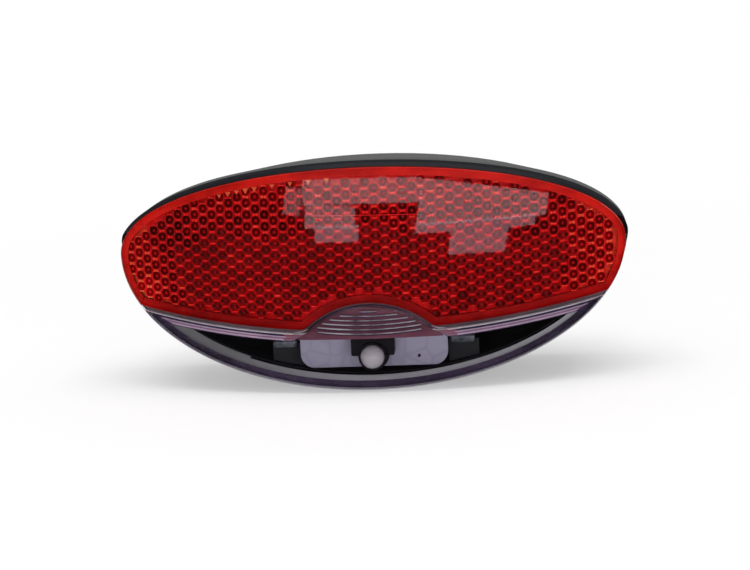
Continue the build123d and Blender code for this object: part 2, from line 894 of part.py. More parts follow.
def spade_terminal(x):
    """Flat blade from the board through the back wall, with a holed, pointed end."""
    with BuildPart() as blade:
        add(block(x, terminal_z, terminal_width, terminal_thickness, -terminal_tail, board_back))
        tip_edges = blade.faces().sort_by(Axis.Y)[-1].edges().filter_by(Axis.Z)
        chamfer(tip_edges, terminal_tip_chamfer)
        with BuildSketch(Plane.XY.offset(terminal_z - terminal_thickness)):
            with Locations((x, terminal_tail / 2)):
                Circle(terminal_hole_radius)
        extrude(amount=2 * terminal_thickness, mode=Mode.SUBTRACT)
    return blade.part


# Spade terminals for the two wires of the dynamo
with BuildPart() as live_terminal:
    add(spade_terminal(terminal_x))
save(live_terminal, "live_terminal")

with BuildPart() as ground_terminal:
    add(spade_terminal(-terminal_x))
save(ground_terminal, "ground_terminal")

# Ground strip from the left bolt to the ground terminal
with BuildPart() as ground_strip:
    with BuildSketch(front_plane(back_wall)):
        add(strip_area(0))
        with Locations(strip_route[0]):
            Circle(bolt_hole_radius, mode=Mode.SUBTRACT)
        with Locations(strip_route[-1]):
            Rectangle(
                terminal_width + 2 * terminal_slot_clearance,
                terminal_thickness + 2 * terminal_slot_clearance,
                mode=Mode.SUBTRACT,
            )
    extrude(amount=strip_thickness)
save(ground_strip, "ground_strip")


def solder_joint(x, z, width, height, seat, reach):
    """Solder cone round a lead, from its seat along the lead, with the lead's own hole."""
    with BuildPart() as joint:
        with BuildSketch(front_plane(seat)):
            with Locations((x, z)):
                Rectangle(width + 2 * solder_foot, height + 2 * solder_foot)
        with BuildSketch(front_plane(seat + reach)):
            with Locations((x, z)):
                Rectangle(width + 2 * solder_neck, height + 2 * solder_neck)
        loft()
        back = min(seat, seat + reach)
        front = max(seat, seat + reach)
        add(block(x, z, width, height, back, front), mode=Mode.SUBTRACT)
    return joint.part


with BuildPart() as solder_joints:
    for x, z in lead_places:
        add(solder_joint(x, z, led_lead_size, led_lead_size, board_back, -solder_height))
    for side in (-1, 1):
        x = side * terminal_x
        add(solder_joint(x, terminal_z, terminal_width, terminal_thickness, board_back, -solder_height))
    x = -terminal_x
    add(solder_joint(x, terminal_z, terminal_width, terminal_thickness, strip_front, solder_height))
save(solder_joints, "solder_joints")
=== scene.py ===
"""Looks of the bicycle rear light: a wide red reflector over a clear window with one LED.

Metres. X is to the right seen from the front, Z is up and the light faces -Y.
"Forward" is the distance in front of the flat back, and a level is a height over the lens tips.
"""

import logging
import math
from dataclasses import dataclass
from enum import Enum
from functools import cache
from typing import Callable, Optional, Sequence, Union

import bmesh
import bpy
from mathutils import Matrix, Vector, noise

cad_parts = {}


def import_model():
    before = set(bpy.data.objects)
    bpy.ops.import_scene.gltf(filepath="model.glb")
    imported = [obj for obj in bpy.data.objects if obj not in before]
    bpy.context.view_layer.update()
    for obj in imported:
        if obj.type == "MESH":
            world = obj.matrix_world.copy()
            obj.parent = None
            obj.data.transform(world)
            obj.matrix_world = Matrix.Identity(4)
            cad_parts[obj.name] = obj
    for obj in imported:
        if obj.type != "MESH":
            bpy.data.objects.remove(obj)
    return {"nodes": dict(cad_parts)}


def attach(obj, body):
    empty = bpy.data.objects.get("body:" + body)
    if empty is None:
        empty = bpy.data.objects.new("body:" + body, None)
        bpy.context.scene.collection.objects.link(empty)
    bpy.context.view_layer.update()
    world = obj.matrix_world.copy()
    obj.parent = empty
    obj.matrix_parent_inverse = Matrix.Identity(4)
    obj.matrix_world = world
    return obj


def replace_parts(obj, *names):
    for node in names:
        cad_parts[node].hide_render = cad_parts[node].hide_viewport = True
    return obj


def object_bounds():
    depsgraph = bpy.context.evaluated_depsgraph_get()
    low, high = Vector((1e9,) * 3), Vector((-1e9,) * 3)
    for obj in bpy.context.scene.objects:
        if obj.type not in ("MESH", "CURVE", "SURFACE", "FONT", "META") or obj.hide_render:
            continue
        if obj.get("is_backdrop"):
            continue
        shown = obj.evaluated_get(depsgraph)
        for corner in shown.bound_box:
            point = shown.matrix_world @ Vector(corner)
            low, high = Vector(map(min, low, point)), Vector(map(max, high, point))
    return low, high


log = logging.getLogger("rear_light")

MM = 0.001
BODY = "root"
MERGE = 0.01 * MM
WHITE = (1.0, 1.0, 1.0, 1.0)

Point = tuple[float, float]
Colour = tuple[float, float, float]
Four = tuple[float, float, float, float]
Mesh = bmesh.types.BMesh
Piece = bpy.types.Object
Socket = bpy.types.NodeSocket
Place = Callable[[float, float], Vector]
Owner = Union[bpy.types.Material, bpy.types.World]


class CellKind(Enum):
    """The two kinds of cell in the reflector field."""

    RING = "ring"
    CUBE = "cube"


# Least turn of a rim's face away from the lens front, in degrees
SIDE_TURN = 70.0
BEVEL_TURN = 18.0


# Meshes


def linked(bm: Mesh, name: str, finishes: Sequence["Finish"]) -> Piece:
    """Turn a bmesh into an object of the scene.

    Args:
        bm: The shape, which is freed here.
        name: Name of the object.
        finishes: One finish for each material index that the faces use.

    Returns:
        The new object.
    """
    mesh = bpy.data.meshes.new(name)
    bm.to_mesh(mesh)
    bm.free()
    made = bpy.data.objects.new(name, mesh)
    bpy.context.scene.collection.objects.link(made)
    for finish in finishes:
        mesh.materials.append(finish.material())
    return made


def finished(bm: Mesh, name: str, finishes: Sequence["Finish"],
             smooth: float = 40.0) -> Piece:
    """Turn a bmesh into a dressed piece that rides on the light.

    Args:
        bm: The shape, in place, which is freed here.
        name: Name of the piece.
        finishes: One finish for each material index that the faces use.
        smooth: Angle in degrees up to which edges are shaded smooth.

    Returns:
        The new object.
    """
    bmesh.ops.recalc_face_normals(bm, faces=bm.faces[:])
    limit = math.radians(smooth)
    for edge in bm.edges:
        edge.smooth = len(edge.link_faces) == 2 and edge.calc_face_angle(0.0) < limit
    for face in bm.faces:
        face.smooth = True
    piece = linked(bm, name, finishes)
    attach(piece, BODY)
    log.info("%s: %d faces", name, len(piece.data.polygons))
    return piece


def add_patch(bm: Mesh, columns: int, rows: int, front: Place, back: Place,
              round_edge: float = 0.0, segments: int = 2) -> None:
    """Add a closed slab whose front and back follow two functions of the unit square.

    Args:
        bm: Mesh to add to.
        columns: Faces across.
        rows: Faces up.
        front: Point of the front for u, v in 0 to 1.
        back: Point of the back for u, v in 0 to 1.
        round_edge: Width of the rounding of the front's border, or zero for none.
        segments: Faces across that rounding.
    """
    half = 0.5
    made = bmesh.ops.create_grid(bm, x_segments=columns, y_segments=rows, size=half)
    faces = list(dict.fromkeys(face for vert in made["verts"] for face in vert.link_faces))
    extruded = bmesh.ops.extrude_face_region(bm, geom=faces)
    behind = [item for item in extruded["geom"] if isinstance(item, bmesh.types.BMVert)]
    for verts, place in ((made["verts"], front), (behind, back)):
        for vert in verts:
            vert.co = place(vert.co.x + half, vert.co.y + half)
    if round_edge:
        ahead = set(made["verts"])
        rim = [edge for face in faces if face.is_valid for edge in face.edges
               if all(vert in ahead for vert in edge.verts)
               and sum(other in faces for other in edge.link_faces) == 1]
        bmesh.ops.bevel(bm, geom=list(dict.fromkeys(rim)), offset=round_edge, offset_type="OFFSET",
                        segments=segments, profile=0.5, affect="EDGES", clamp_overlap=True,
                        material=-1)


def add_loop(bm: Mesh, points: Sequence[Vector]) -> list[bmesh.types.BMEdge]:
    """Add a closed loop of edges.

    Args:
        bm: Mesh to add to.
        points: The loop's points in order.

    Returns:
        The loop's edges.
    """
    verts = [bm.verts.new(point) for point in points]
    return [bm.edges.new((verts[place - 1], verts[place])) for place in range(len(verts))]


def add_band(bm: Mesh, loops: Sequence[Sequence[Vector]],
             slots: Optional[Callable[[int, Vector], int]] = None) -> None:
    """Add the skin of a ring through loops of equally many points, the last joined to the first.

    Args:
        bm: Mesh to add to.
        loops: The loops in order.
        slots: Material index from a band's number and a face's middle, or None for the first.
    """
    edges = [add_loop(bm, loop) for loop in loops]
    for band, (first, second) in enumerate(zip(edges, edges[1:] + edges[:1])):
        made = bmesh.ops.bridge_loops(bm, edges=first + second)
        for face in made["faces"]:
            face.material_index = slots(band, face.calc_center_median()) if slots else 0


def mark_rim(bm: Mesh, bevel_slot: int, side_slot: int) -> None:
    """Give other material indices to the faces that turn away from the ball's own direction.

    Args:
        bm: The mesh.
        bevel_slot: Material index for faces that turn away a little, as on a rounded edge.
        side_slot: Material index for faces that turn away fully.
    """
    centre = Vector((0.0, FORM.radius - FORM.apex, FORM.tip))
    bmesh.ops.recalc_face_normals(bm, faces=bm.faces[:])
    for face in bm.faces:
        outward = (face.calc_center_median() - centre).normalized()
        away = 90.0 - abs(90.0 - math.degrees(face.normal.angle(outward)))
        if away > SIDE_TURN:
            face.material_index = side_slot
        elif away > BEVEL_TURN:
            face.material_index = bevel_slot


def offset_outline(outline: Sequence[Point], inset: float) -> list[Point]:
    """Draw an outline in by an even width, with mitred corners.

    Args:
        outline: Points of a closed outline that runs anticlockwise.
        inset: Width to draw it in by.

    Returns:
        As many points, in the same order.
    """
    moved = []
    count = len(outline)
    for place in range(count):
        before, here, after = (Vector(outline[(place + step) % count]) for step in (-1, 0, 1))
        first, second = (here - before).normalized(), (after - here).normalized()
        inward = Vector((-first.y - second.y, first.x + second.x))
        inward = inward.normalized() if inward.length > 1e-9 else Vector((-first.y, first.x))
        share = max(inward.dot(Vector((-first.y, first.x))), 0.35)
        moved.append(tuple(here + inward * (inset / share)))
    return moved


# Finishes


class Recipe:
    """Node tree of a material or a world, with short calls that add and join nodes."""

    def __init__(self, owner: Owner, output: str) -> None:
        """Start an empty tree.

        Args:
            owner: The material or the world.
            output: Blender's name of the node that ends the tree.
        """
        self.owner = owner
        owner.use_nodes = True
        self.tree = owner.node_tree
        self.tree.nodes.clear()
        self.output = self.tree.nodes.new(output)
        self.place = self.add("TexCoord").outputs["Object"]

    def add(self, kind: str, sockets: Optional[dict] = None, **settings: object) -> bpy.types.Node:
        """Add a node.

        Args:
            kind: Blender's name of the node type, without ShaderNode.
            sockets: Values or sockets for the node's inputs, by name or number.
            settings: Properties of the node.

        Returns:
            The node.
        """
        node = self.tree.nodes.new("ShaderNode" + kind)
        for key, value in settings.items():
            setattr(node, key, value)
        for key, value in (sockets or {}).items():
            if isinstance(value, Socket):
                self.tree.links.new(value, node.inputs[key])
            else:
                node.inputs[key].default_value = value
        return node

    def noise(self, scale: float, detail: float = 3.0, rough: float = 0.5,
              stretch: Sequence[float] = (1, 1, 1)) -> Socket:
        """Noise on the object's own coordinates.

        Args:
            scale: Bumps in a metre, about.
            detail: How many finer layers it has.
            rough: Share of the finer layers.
            stretch: Factors on the three axes.

        Returns:
            Value of 0 to 1.
        """
        spread = self.add("Mapping", {"Vector": self.place, "Scale": stretch})
        made = self.add("TexNoise", {"Vector": spread.outputs[0], "Scale": scale,
                                     "Detail": detail, "Roughness": rough})
        return made.outputs["Fac"]

    def ramp(self, value: Socket, stops: Sequence[tuple[float, Colour]]) -> Socket:
        """Colour ramp over a value.

        Args:
            value: Value of 0 to 1.
            stops: Places and linear colours, in order.

        Returns:
            The colour socket.
        """
        node = self.add("ValToRGB", {"Fac": value})
        elements = node.color_ramp.elements
        while len(elements) < len(stops):
            elements.new(0.5)
        for element, (position, colour) in zip(elements, stops):
            element.position = position
            element.color = (*colour, 1.0)
        return node.outputs["Color"]

    def spread(self, value: Socket, low: float, high: float, start: float = 0.0,
               end: float = 1.0) -> Socket:
        """Map a value from start..end to low..high."""
        return self.add("MapRange", {"Value": value, "From Min": start, "From Max": end,
                                     "To Min": low, "To Max": high}).outputs["Result"]

    def maths(self, operation: str, first: Union[Socket, float],
              second: Union[Socket, float] = 0.0) -> Socket:
        """One arithmetic step."""
        return self.add("Math", {0: first, 1: second}, operation=operation).outputs[0]

    def bump(self, height: Socket, depth: float, strength: float = 1.0) -> Socket:
        """Normal from a height value, with its depth in metres."""
        return self.add("Bump", {"Height": height, "Distance": depth,
                                 "Strength": strength}).outputs["Normal"]

    def shader(self, kind: str, sockets: dict) -> Socket:
        """Add a node and return its first output."""
        return self.add(kind, sockets).outputs[0]

    def axis(self, name: str) -> Socket:
        """One of the object's own coordinates."""
        return self.add("SeparateXYZ", {0: self.place}).outputs[name]

    def mix(self, share: Union[Socket, float], first: Socket, second: Socket) -> Socket:
        """Mix two shaders."""
        return self.shader("MixShader", {0: share, 1: first, 2: second})

    def close(self, shader: Socket) -> Owner:
        """Join the shader to the output and return the material or world."""
        self.tree.links.new(shader, self.output.inputs["Surface"])
        return self.owner


@dataclass(frozen=True)
class Finish:
    """A finish that builds its material once, under a name that no slot of the record has."""

    name: str

    @cache
    def material(self) -> bpy.types.Material:
        """Material of this finish, built at its first use."""
        recipe = Recipe(bpy.data.materials.new(self.name), "ShaderNodeOutputMaterial")
        return recipe.close(self.surface(recipe))

    def surface(self, recipe: Recipe) -> Socket:
        """Build the surface.

        Args:
            recipe: The material's node tree.

        Returns:
            The shader.
        """
        raise NotImplementedError


@dataclass(frozen=True)
class MouldedPlastic(Finish):
    """Opaque moulded plastic with a fine eroded grain."""

    colour: Colour = (0.02, 0.02, 0.021)
    worn: Colour = (0.05, 0.05, 0.052)
    roughness: float = 0.55
    grain: float = 2600.0
    depth: float = 0.00006
    specular: float = 0.4

    def surface(self, recipe: Recipe) -> Socket:
        """Build the surface.

        Args:
            recipe: The material's node tree.

        Returns:
            The shader.
        """
        cloud = recipe.noise(90.0, 4.0)
        grain = recipe.noise(self.grain, 2.0, 0.6)
        return recipe.shader("BsdfPrincipled", {
            "Base Color": recipe.ramp(cloud, ((0.35, self.colour), (0.75, self.worn))),
            "Roughness": recipe.spread(grain, self.roughness - 0.08, self.roughness + 0.1),
            "Specular IOR Level": self.specular,
            "Normal": recipe.bump(grain, self.depth, 0.6),
        })


@dataclass(frozen=True)
class HousingPlastic(Finish):
    """Black housing: eroded grain on the tub, smooth on the lip round the lens, with a painted
    highlight line along the lip's front edge.
    """

    ball_centre: tuple[float, float, float] = (0.0, 0.066, 0.005)
    lip_from: float = 0.0973
    # Distance from the ball's centre past which the lip carries a painted highlight line
    highlight_from: float = 0.1026
    tub_colour: Colour = (0.032, 0.033, 0.034)
    tub_worn: Colour = (0.041, 0.042, 0.043)
    lip_shine: float = 0.018
    lip_colour: Colour = (0.005, 0.006, 0.008)
    # Colour of the painted highlight line on the lip's front edge
    painted_highlight_colour: Colour = (0.050, 0.058, 0.068)

    def surface(self, recipe: Recipe) -> Socket:
        """Build the surface.

        Args:
            recipe: The material's node tree.

        Returns:
            The shader.
        """
        reach = recipe.add("VectorMath", {0: recipe.place, 1: self.ball_centre},
                           operation="DISTANCE").outputs["Value"]
        lip = recipe.spread(reach, 0.0, 1.0, self.lip_from - 0.0001, self.lip_from + 0.0001)
        # Painted highlight: a lighter line along the lip's front edge, picked out by distance from
        # the ball's centre
        line = recipe.spread(reach, 0.0, 1.0, self.highlight_from - 0.0002, self.highlight_from + 0.0002)
        grain = recipe.noise(2100.0, 3.0, 0.65)
        cloud = recipe.noise(60.0, 3.0)
        tub = recipe.ramp(cloud, ((0.3, self.tub_colour), (0.8, self.tub_worn)))
        smooth = recipe.ramp(line, ((0.0, self.lip_colour), (1.0, self.painted_highlight_colour)))
        matt = recipe.shader("BsdfPrincipled", {
            "Base Color": tub,
            "Roughness": recipe.spread(grain, 0.55, 0.70),
            "Specular IOR Level": 0.22,
            "Normal": recipe.bump(grain, 0.00009, 0.7),
        })
        black = recipe.shader("BsdfDiffuse", {"Color": smooth})
        shine = recipe.shader("BsdfGlossy", {
            "Color": WHITE, "Roughness": recipe.spread(grain, 0.18, 0.24),
        })
        polished = recipe.mix(self.lip_shine, black, shine)
        return recipe.mix(lip, matt, polished)


@dataclass(frozen=True)
class ClearShell(Finish):
    """Polished clear or tinted plastic that lets light straight through."""

    tint: Colour = (0.95, 0.95, 0.95)
    body: Colour = (0.5, 0.5, 0.5)
    cloudiness: float = 0.0
    gloss_ior: float = 1.33
    most_gloss: float = 0.22
    roughness: float = 0.01

    def surface(self, recipe: Recipe) -> Socket:
        """Build the surface.

        Args:
            recipe: The material's node tree.

        Returns:
            The shader.
        """
        streaks = recipe.noise(45.0, 2.0, 0.5, (1, 1, 2.5))
        polish = recipe.spread(recipe.noise(300.0, 2.0), self.roughness, self.roughness + 0.02)
        dimmer = tuple(value * 0.98 for value in self.tint)
        clear = recipe.shader("BsdfTransparent", {
            "Color": recipe.ramp(streaks, ((0.3, dimmer), (0.7, self.tint))),
        })
        if self.cloudiness:
            milk = recipe.shader("BsdfDiffuse", {"Color": (*self.body, 1.0)})
            share = recipe.spread(streaks, self.cloudiness * 0.8, self.cloudiness * 1.2)
            clear = recipe.mix(share, clear, milk)
        shine = recipe.shader("BsdfGlossy", {"Color": WHITE, "Roughness": polish})
        fresnel = recipe.add("Fresnel", {"IOR": self.gloss_ior}).outputs[0]
        share_of_shine = recipe.maths("MINIMUM", fresnel, self.most_gloss)
        return recipe.mix(share_of_shine, clear, shine)


@dataclass(frozen=True)
class ReflectorRed(Finish):
    """Red of the reflector cells in painted light and shade, from painted shade in the hollows to
    painted highlights on the edges and painted glints.
    """

    # Ramp of painted light and shade over each face's value, from painted shade to painted glints
    dark: Colour = (0.05, 0.0002, 0.0004)
    middle: Colour = (0.20, 0.0004, 0.0010)
    red: Colour = (0.42, 0.0015, 0.004)
    bright: Colour = (0.85, 0.018, 0.020)
    glint: Colour = (1.0, 0.34, 0.13)
    roughness: float = 0.35

    def surface(self, recipe: Recipe) -> Socket:
        """Build the surface.

        Args:
            recipe: The material's node tree.

        Returns:
            The shader.
        """
        # Painted light and shade of each face, as the cell builder sets it
        painted_glow = recipe.add("Attribute", attribute_name="painted_glow").outputs["Fac"]
        patches = recipe.noise(210.0, 3.0, 0.6)
        fine = recipe.noise(1500.0, 2.0, 0.6, (1, 1, 1.6))
        change = recipe.maths("ADD", recipe.spread(patches, -0.05, 0.05, 0.3, 0.7),
                              recipe.spread(fine, -0.08, 0.08, 0.3, 0.7))
        level = recipe.maths("ADD", painted_glow, change)
        return recipe.shader("BsdfPrincipled", {
            "Base Color": recipe.ramp(level, (
                (0.05, self.dark), (0.25, self.middle), (0.45, self.red), (0.70, self.bright),
                (0.95, self.glint),
            )),
            "Roughness": recipe.spread(fine, self.roughness, self.roughness + 0.12),
            "Specular IOR Level": 0.15,
        })


@dataclass(frozen=True)
class PaintedGlowRed(Finish):
    """Red of the lens walls in painted light, brighter towards the top and the ends, with random
    streaks.
    """

    deep: Colour = (0.20, 0.0015, 0.0015)
    middle: Colour = (0.36, 0.004, 0.003)
    bright: Colour = (0.66, 0.022, 0.012)
    # Heights, and reach across, over which the painted light grows
    low: float = -0.006
    high: float = 0.020
    end: float = 0.052

    def surface(self, recipe: Recipe) -> Socket:
        """Build the surface.

        Args:
            recipe: The material's node tree.

        Returns:
            The shader.
        """
        # Painted light: lighter with height and towards both ends
        height = recipe.spread(recipe.axis("Z"), 0.0, 0.62, self.low, self.high)
        outward = recipe.spread(recipe.maths("ABSOLUTE", recipe.axis("X")), 0.0, 0.40,
                                self.end * 0.72, self.end)
        along = recipe.noise(110.0, 3.0, 0.6, (1, 1, 3))
        fine = recipe.noise(700.0, 2.0)
        level = recipe.maths("ADD", recipe.maths("ADD", height, outward), recipe.maths(
            "ADD", recipe.spread(along, 0.0, 0.30, 0.35, 0.65),
            recipe.spread(fine, -0.06, 0.06, 0.3, 0.7)))
        return recipe.shader("BsdfPrincipled", {
            "Base Color": recipe.ramp(level, (
                (0.05, self.deep), (0.45, self.middle), (0.95, self.bright),
            )),
            "Roughness": recipe.spread(fine, 0.3, 0.42),
            "Specular IOR Level": 0.15,
        })


@dataclass(frozen=True)
class PaintedLightWall(Finish):
    """Clear wall seen along its length, painted solid in colours that stand in for light and shade,
    with random streaks; where through is set, a share lets light through from behind.
    """

    shade: Colour = (0.05, 0.042, 0.07)
    light: Colour = (0.16, 0.12, 0.19)
    roughness: float = 0.12
    through: float = 0.0
    grain: Sequence[float] = (1, 1, 4)

    def surface(self, recipe: Recipe) -> Socket:
        """Build the surface.

        Args:
            recipe: The material's node tree.

        Returns:
            The shader.
        """
        along = recipe.noise(55.0, 4.0, 0.6, self.grain)
        fine = recipe.noise(900.0, 2.0)
        colour = recipe.ramp(along, ((0.3, self.shade), (0.7, self.light)))
        wall = recipe.shader("BsdfPrincipled", {
            "Base Color": colour,
            "Roughness": recipe.spread(fine, self.roughness, self.roughness + 0.1),
            "Specular IOR Level": 0.4,
        })
        if self.through:
            lit = recipe.shader("BsdfTranslucent", {"Color": colour})
            wall = recipe.mix(self.through, wall, lit)
        return wall


@dataclass(frozen=True)
class InnerWall(Finish):
    """Inner side of the rim wall, lit from behind, with painted light making it paler towards the
    middle.
    """

    # Painted light: darker at the ends, paler in the middle
    end: Colour = (0.40, 0.40, 0.39)
    middle: Colour = (0.95, 0.94, 0.93)
    end_at: float = -0.034
    middle_at: float = -0.006
    through: float = 0.55

    def surface(self, recipe: Recipe) -> Socket:
        """Build the surface.

        Args:
            recipe: The material's node tree.

        Returns:
            The shader.
        """
        along = recipe.noise(55.0, 4.0, 0.6, (1, 1, 4))
        level = recipe.maths("ADD", recipe.spread(recipe.axis("X"), 0.0, 0.85, self.end_at,
                                                  self.middle_at),
                             recipe.spread(along, 0.0, 0.15, 0.3, 0.7))
        colour = recipe.ramp(level, ((0.0, self.end), (1.0, self.middle)))
        surface = recipe.shader("BsdfDiffuse", {"Color": colour})
        lit = recipe.shader("BsdfTranslucent", {"Color": colour})
        return recipe.mix(self.through, surface, lit)


@dataclass(frozen=True)
class SmokyWall(Finish):
    """Clear wall that shows what lies behind it, dimmed, with milky streaks along it."""

    tint: Colour = (0.6, 0.6, 0.6)
    streak: Colour = (0.5, 0.5, 0.5)
    share: float = 0.3

    def surface(self, recipe: Recipe) -> Socket:
        """Build the surface.

        Args:
            recipe: The material's node tree.

        Returns:
            The shader.
        """
        along = recipe.noise(60.0, 3.0, 0.6, (1, 1, 4))
        dimmer = tuple(value * 0.92 for value in self.tint)
        clear = recipe.shader("BsdfTransparent", {
            "Color": recipe.ramp(along, ((0.3, dimmer), (0.7, self.tint))),
        })
        milk = recipe.shader("BsdfPrincipled", {
            "Base Color": (*self.streak, 1.0),
            "Roughness": recipe.spread(along, 0.15, 0.3),
        })
        share = recipe.spread(along, self.share * 0.7, self.share * 1.3, 0.3, 0.7)
        return recipe.mix(share, clear, milk)


@dataclass(frozen=True)
class PlainMetal(Finish):
    """Rolled, drawn or plated metal with fine scratches."""

    colour: Colour = (0.6, 0.6, 0.6)
    dull: Colour = (0.4, 0.4, 0.4)
    roughness: float = 0.3
    stretch: Sequence[float] = (1, 8, 1)

    def surface(self, recipe: Recipe) -> Socket:
        """Build the surface.

        Args:
            recipe: The material's node tree.

        Returns:
            The shader.
        """
        scratch = recipe.noise(900.0, 4.0, 0.6, self.stretch)
        cloud = recipe.noise(220.0, 3.0)
        return recipe.shader("BsdfPrincipled", {
            "Base Color": recipe.ramp(cloud, ((0.3, self.dull), (0.7, self.colour))),
            "Metallic": 1.0,
            "Roughness": recipe.spread(scratch, self.roughness - 0.08, self.roughness + 0.12),
            "Normal": recipe.bump(scratch, 0.00002, 0.4),
        })


@dataclass(frozen=True)
class ThreadedMetal(PlainMetal):
    """Plated metal whose shank shows a thread along the Y axis, with painted shade darkening the
    thread's grooves.
    """

    pitch: float = 0.0008
    thread_depth: float = 0.0003
    # Share of random tone against the painted shade of the grooves
    worn: float = 0.45

    def surface(self, recipe: Recipe) -> Socket:
        """Build the surface.

        Args:
            recipe: The material's node tree.

        Returns:
            The shader.
        """
        turns = recipe.maths("MULTIPLY", recipe.axis("Y"), 2 * math.pi / self.pitch)
        thread = recipe.spread(recipe.maths("SINE", turns), 0.0, 1.0, -1.0, 1.0)
        cloud = recipe.noise(220.0, 3.0)
        # Painted shade: the colour follows the thread, dark in its grooves and light on its crests
        tone = recipe.maths("ADD", recipe.maths("MULTIPLY", thread, 1.0 - self.worn),
                            recipe.maths("MULTIPLY", cloud, self.worn))
        return recipe.shader("BsdfPrincipled", {
            "Base Color": recipe.ramp(tone, ((0.15, self.dull), (0.8, self.colour))),
            "Metallic": 1.0,
            "Roughness": recipe.spread(cloud, self.roughness - 0.05, self.roughness + 0.12),
            "Normal": recipe.bump(thread, self.thread_depth, 0.8),
        })


@dataclass(frozen=True)
class BoardCoat(Finish):
    """White lacquer over copper tracks, which stand up faintly."""

    lacquer: Colour = (0.46, 0.435, 0.54)
    track: Colour = (0.39, 0.37, 0.46)
    pitch: float = 0.0042

    def surface(self, recipe: Recipe) -> Socket:
        """Build the surface.

        Args:
            recipe: The material's node tree.

        Returns:
            The shader.
        """
        cells = recipe.add("TexVoronoi", {
            "Vector": recipe.place, "Scale": 1.0 / self.pitch, "Randomness": 0.55,
        }, feature="DISTANCE_TO_EDGE", distance="EUCLIDEAN").outputs["Distance"]
        line = recipe.spread(cells, 1.0, 0.0, 0.03, 0.06)
        cloud = recipe.noise(120.0, 3.0)
        level = recipe.maths("ADD", recipe.maths("MULTIPLY", line, 0.5),
                             recipe.spread(cloud, -0.1, 0.35, 0.3, 0.7))
        return recipe.shader("BsdfPrincipled", {
            "Base Color": recipe.ramp(level, ((0.0, self.lacquer), (0.8, self.track))),
            "Roughness": recipe.spread(cloud, 0.3, 0.42),
            "Specular IOR Level": 0.4,
            "Normal": recipe.bump(line, 0.00003, 0.5),
        })


@dataclass(frozen=True)
class StudioGround(Finish):
    """Pale floor that keeps the shadow near the light and is plain white further off."""

    near: float = 0.09
    far: float = 0.30
    paper: float = 0.62
    lift: float = 0.38
    front_mirror: float = 0.04
    card_light: float = 4.9
    card_tone: Four = (1.0, 0.88, 1.0, 1.0)
    cards: Sequence[Four] = (
        (-17.5, -6.0, 0.42, 2.9),
        (8.5, 40.0, 0.60, 2.9),
        (18.0, 33.0, 0.22, 0.60),
    )

    def card(self, recipe: Recipe, turn: Socket, reach: Socket, sizes: Four) -> Socket:
        """Mask of one card on the floor.

        Args:
            recipe: The material's recipe.
            turn: Angle round the light, in degrees from straight ahead.
            reach: Distance from the light.
            sizes: First and last angle, nearest and furthest distance.

        Returns:
            One inside the card and zero outside.
        """
        within = [
            recipe.add("Math", {0: value, 1: (low + high) / 2, 2: (high - low) / 2},
                       operation="COMPARE").outputs[0]
            for value, low, high in ((turn, *sizes[:2]), (reach, *sizes[2:]))
        ]
        return recipe.maths("MULTIPLY", *within)

    def surface(self, recipe: Recipe) -> Socket:
        """Build the surface.

        Args:
            recipe: The material's node tree.

        Returns:
            The shader.
        """
        speckle = recipe.spread(recipe.noise(400.0, 3.0), self.paper - 0.01, self.paper + 0.01)
        tone = recipe.add("CombineColor", {0: speckle, 1: speckle, 2: speckle})
        paper = recipe.shader("BsdfDiffuse", {"Color": tone.outputs[0]})
        lift = recipe.shader("Emission", {"Strength": self.lift})
        lit = recipe.shader("AddShader", {0: paper, 1: lift})
        plain = recipe.shader("Emission", {"Strength": 1.0})
        reach = recipe.add("VectorMath", {0: recipe.place}, operation="LENGTH").outputs["Value"]
        away = recipe.spread(reach, 0.0, 1.0, self.near, self.far)
        strength = recipe.spread(recipe.axis("Y"), self.front_mirror, 1.0, 0.0, self.near)
        ahead = recipe.maths("MULTIPLY", recipe.axis("Y"), -1.0)
        turn = recipe.maths("DEGREES", recipe.maths("ARCTAN2", recipe.axis("X"), ahead))
        for sizes in self.cards:
            mask = self.card(recipe, turn, reach, sizes)
            strength = recipe.maths("ADD", strength,
                                    recipe.maths("MULTIPLY", mask, self.card_light))
        mirrored = recipe.shader("Emission", {"Color": self.card_tone, "Strength": strength})
        rays = recipe.add("LightPath")
        seen = recipe.mix(away, lit, plain)
        return recipe.mix(rays.outputs["Is Glossy Ray"], seen, mirrored)


RED_COVER = ClearShell("red_cover", tint=(1.0, 0.84, 0.84), gloss_ior=1.22)
CLEAR_PANE = ClearShell("clear_pane", tint=(0.93, 0.93, 0.95), gloss_ior=1.22)
# Ribs in a painted highlight; a dark copy below each rib is painted shade
RIB_PLASTIC = PaintedLightWall("rib_plastic", shade=(0.13, 0.085, 0.105), light=(0.72, 0.66, 0.68),
                          grain=(2.4, 1, 1))
# Pink painted light seen behind the ribs
RIB_BED = PaintedLightWall("rib_bed", shade=(0.115, 0.036, 0.056), light=(0.26, 0.095, 0.125))
EPOXY = ClearShell("dome_epoxy", tint=(0.95, 0.92, 0.94), body=(0.95, 0.88, 0.90),
                   cloudiness=0.56, gloss_ior=1.5)
CELL_RED = ReflectorRed("cell_red")
# Walls and sides of the red lens, in painted light
BORDER_RED = PaintedGlowRed("border_red")
# Painted highlight line on the red cover's rounded edge
RED_EDGE_HIGHLIGHT = PaintedLightWall("red_edge_highlight", shade=(0.52, 0.34, 0.32), light=(0.72, 0.58, 0.56))
# Painted highlight line on the window's rounded edge and step
CLEAR_EDGE_HIGHLIGHT = PaintedLightWall("clear_edge_highlight", shade=(0.55, 0.50, 0.56), light=(0.80, 0.76, 0.80))
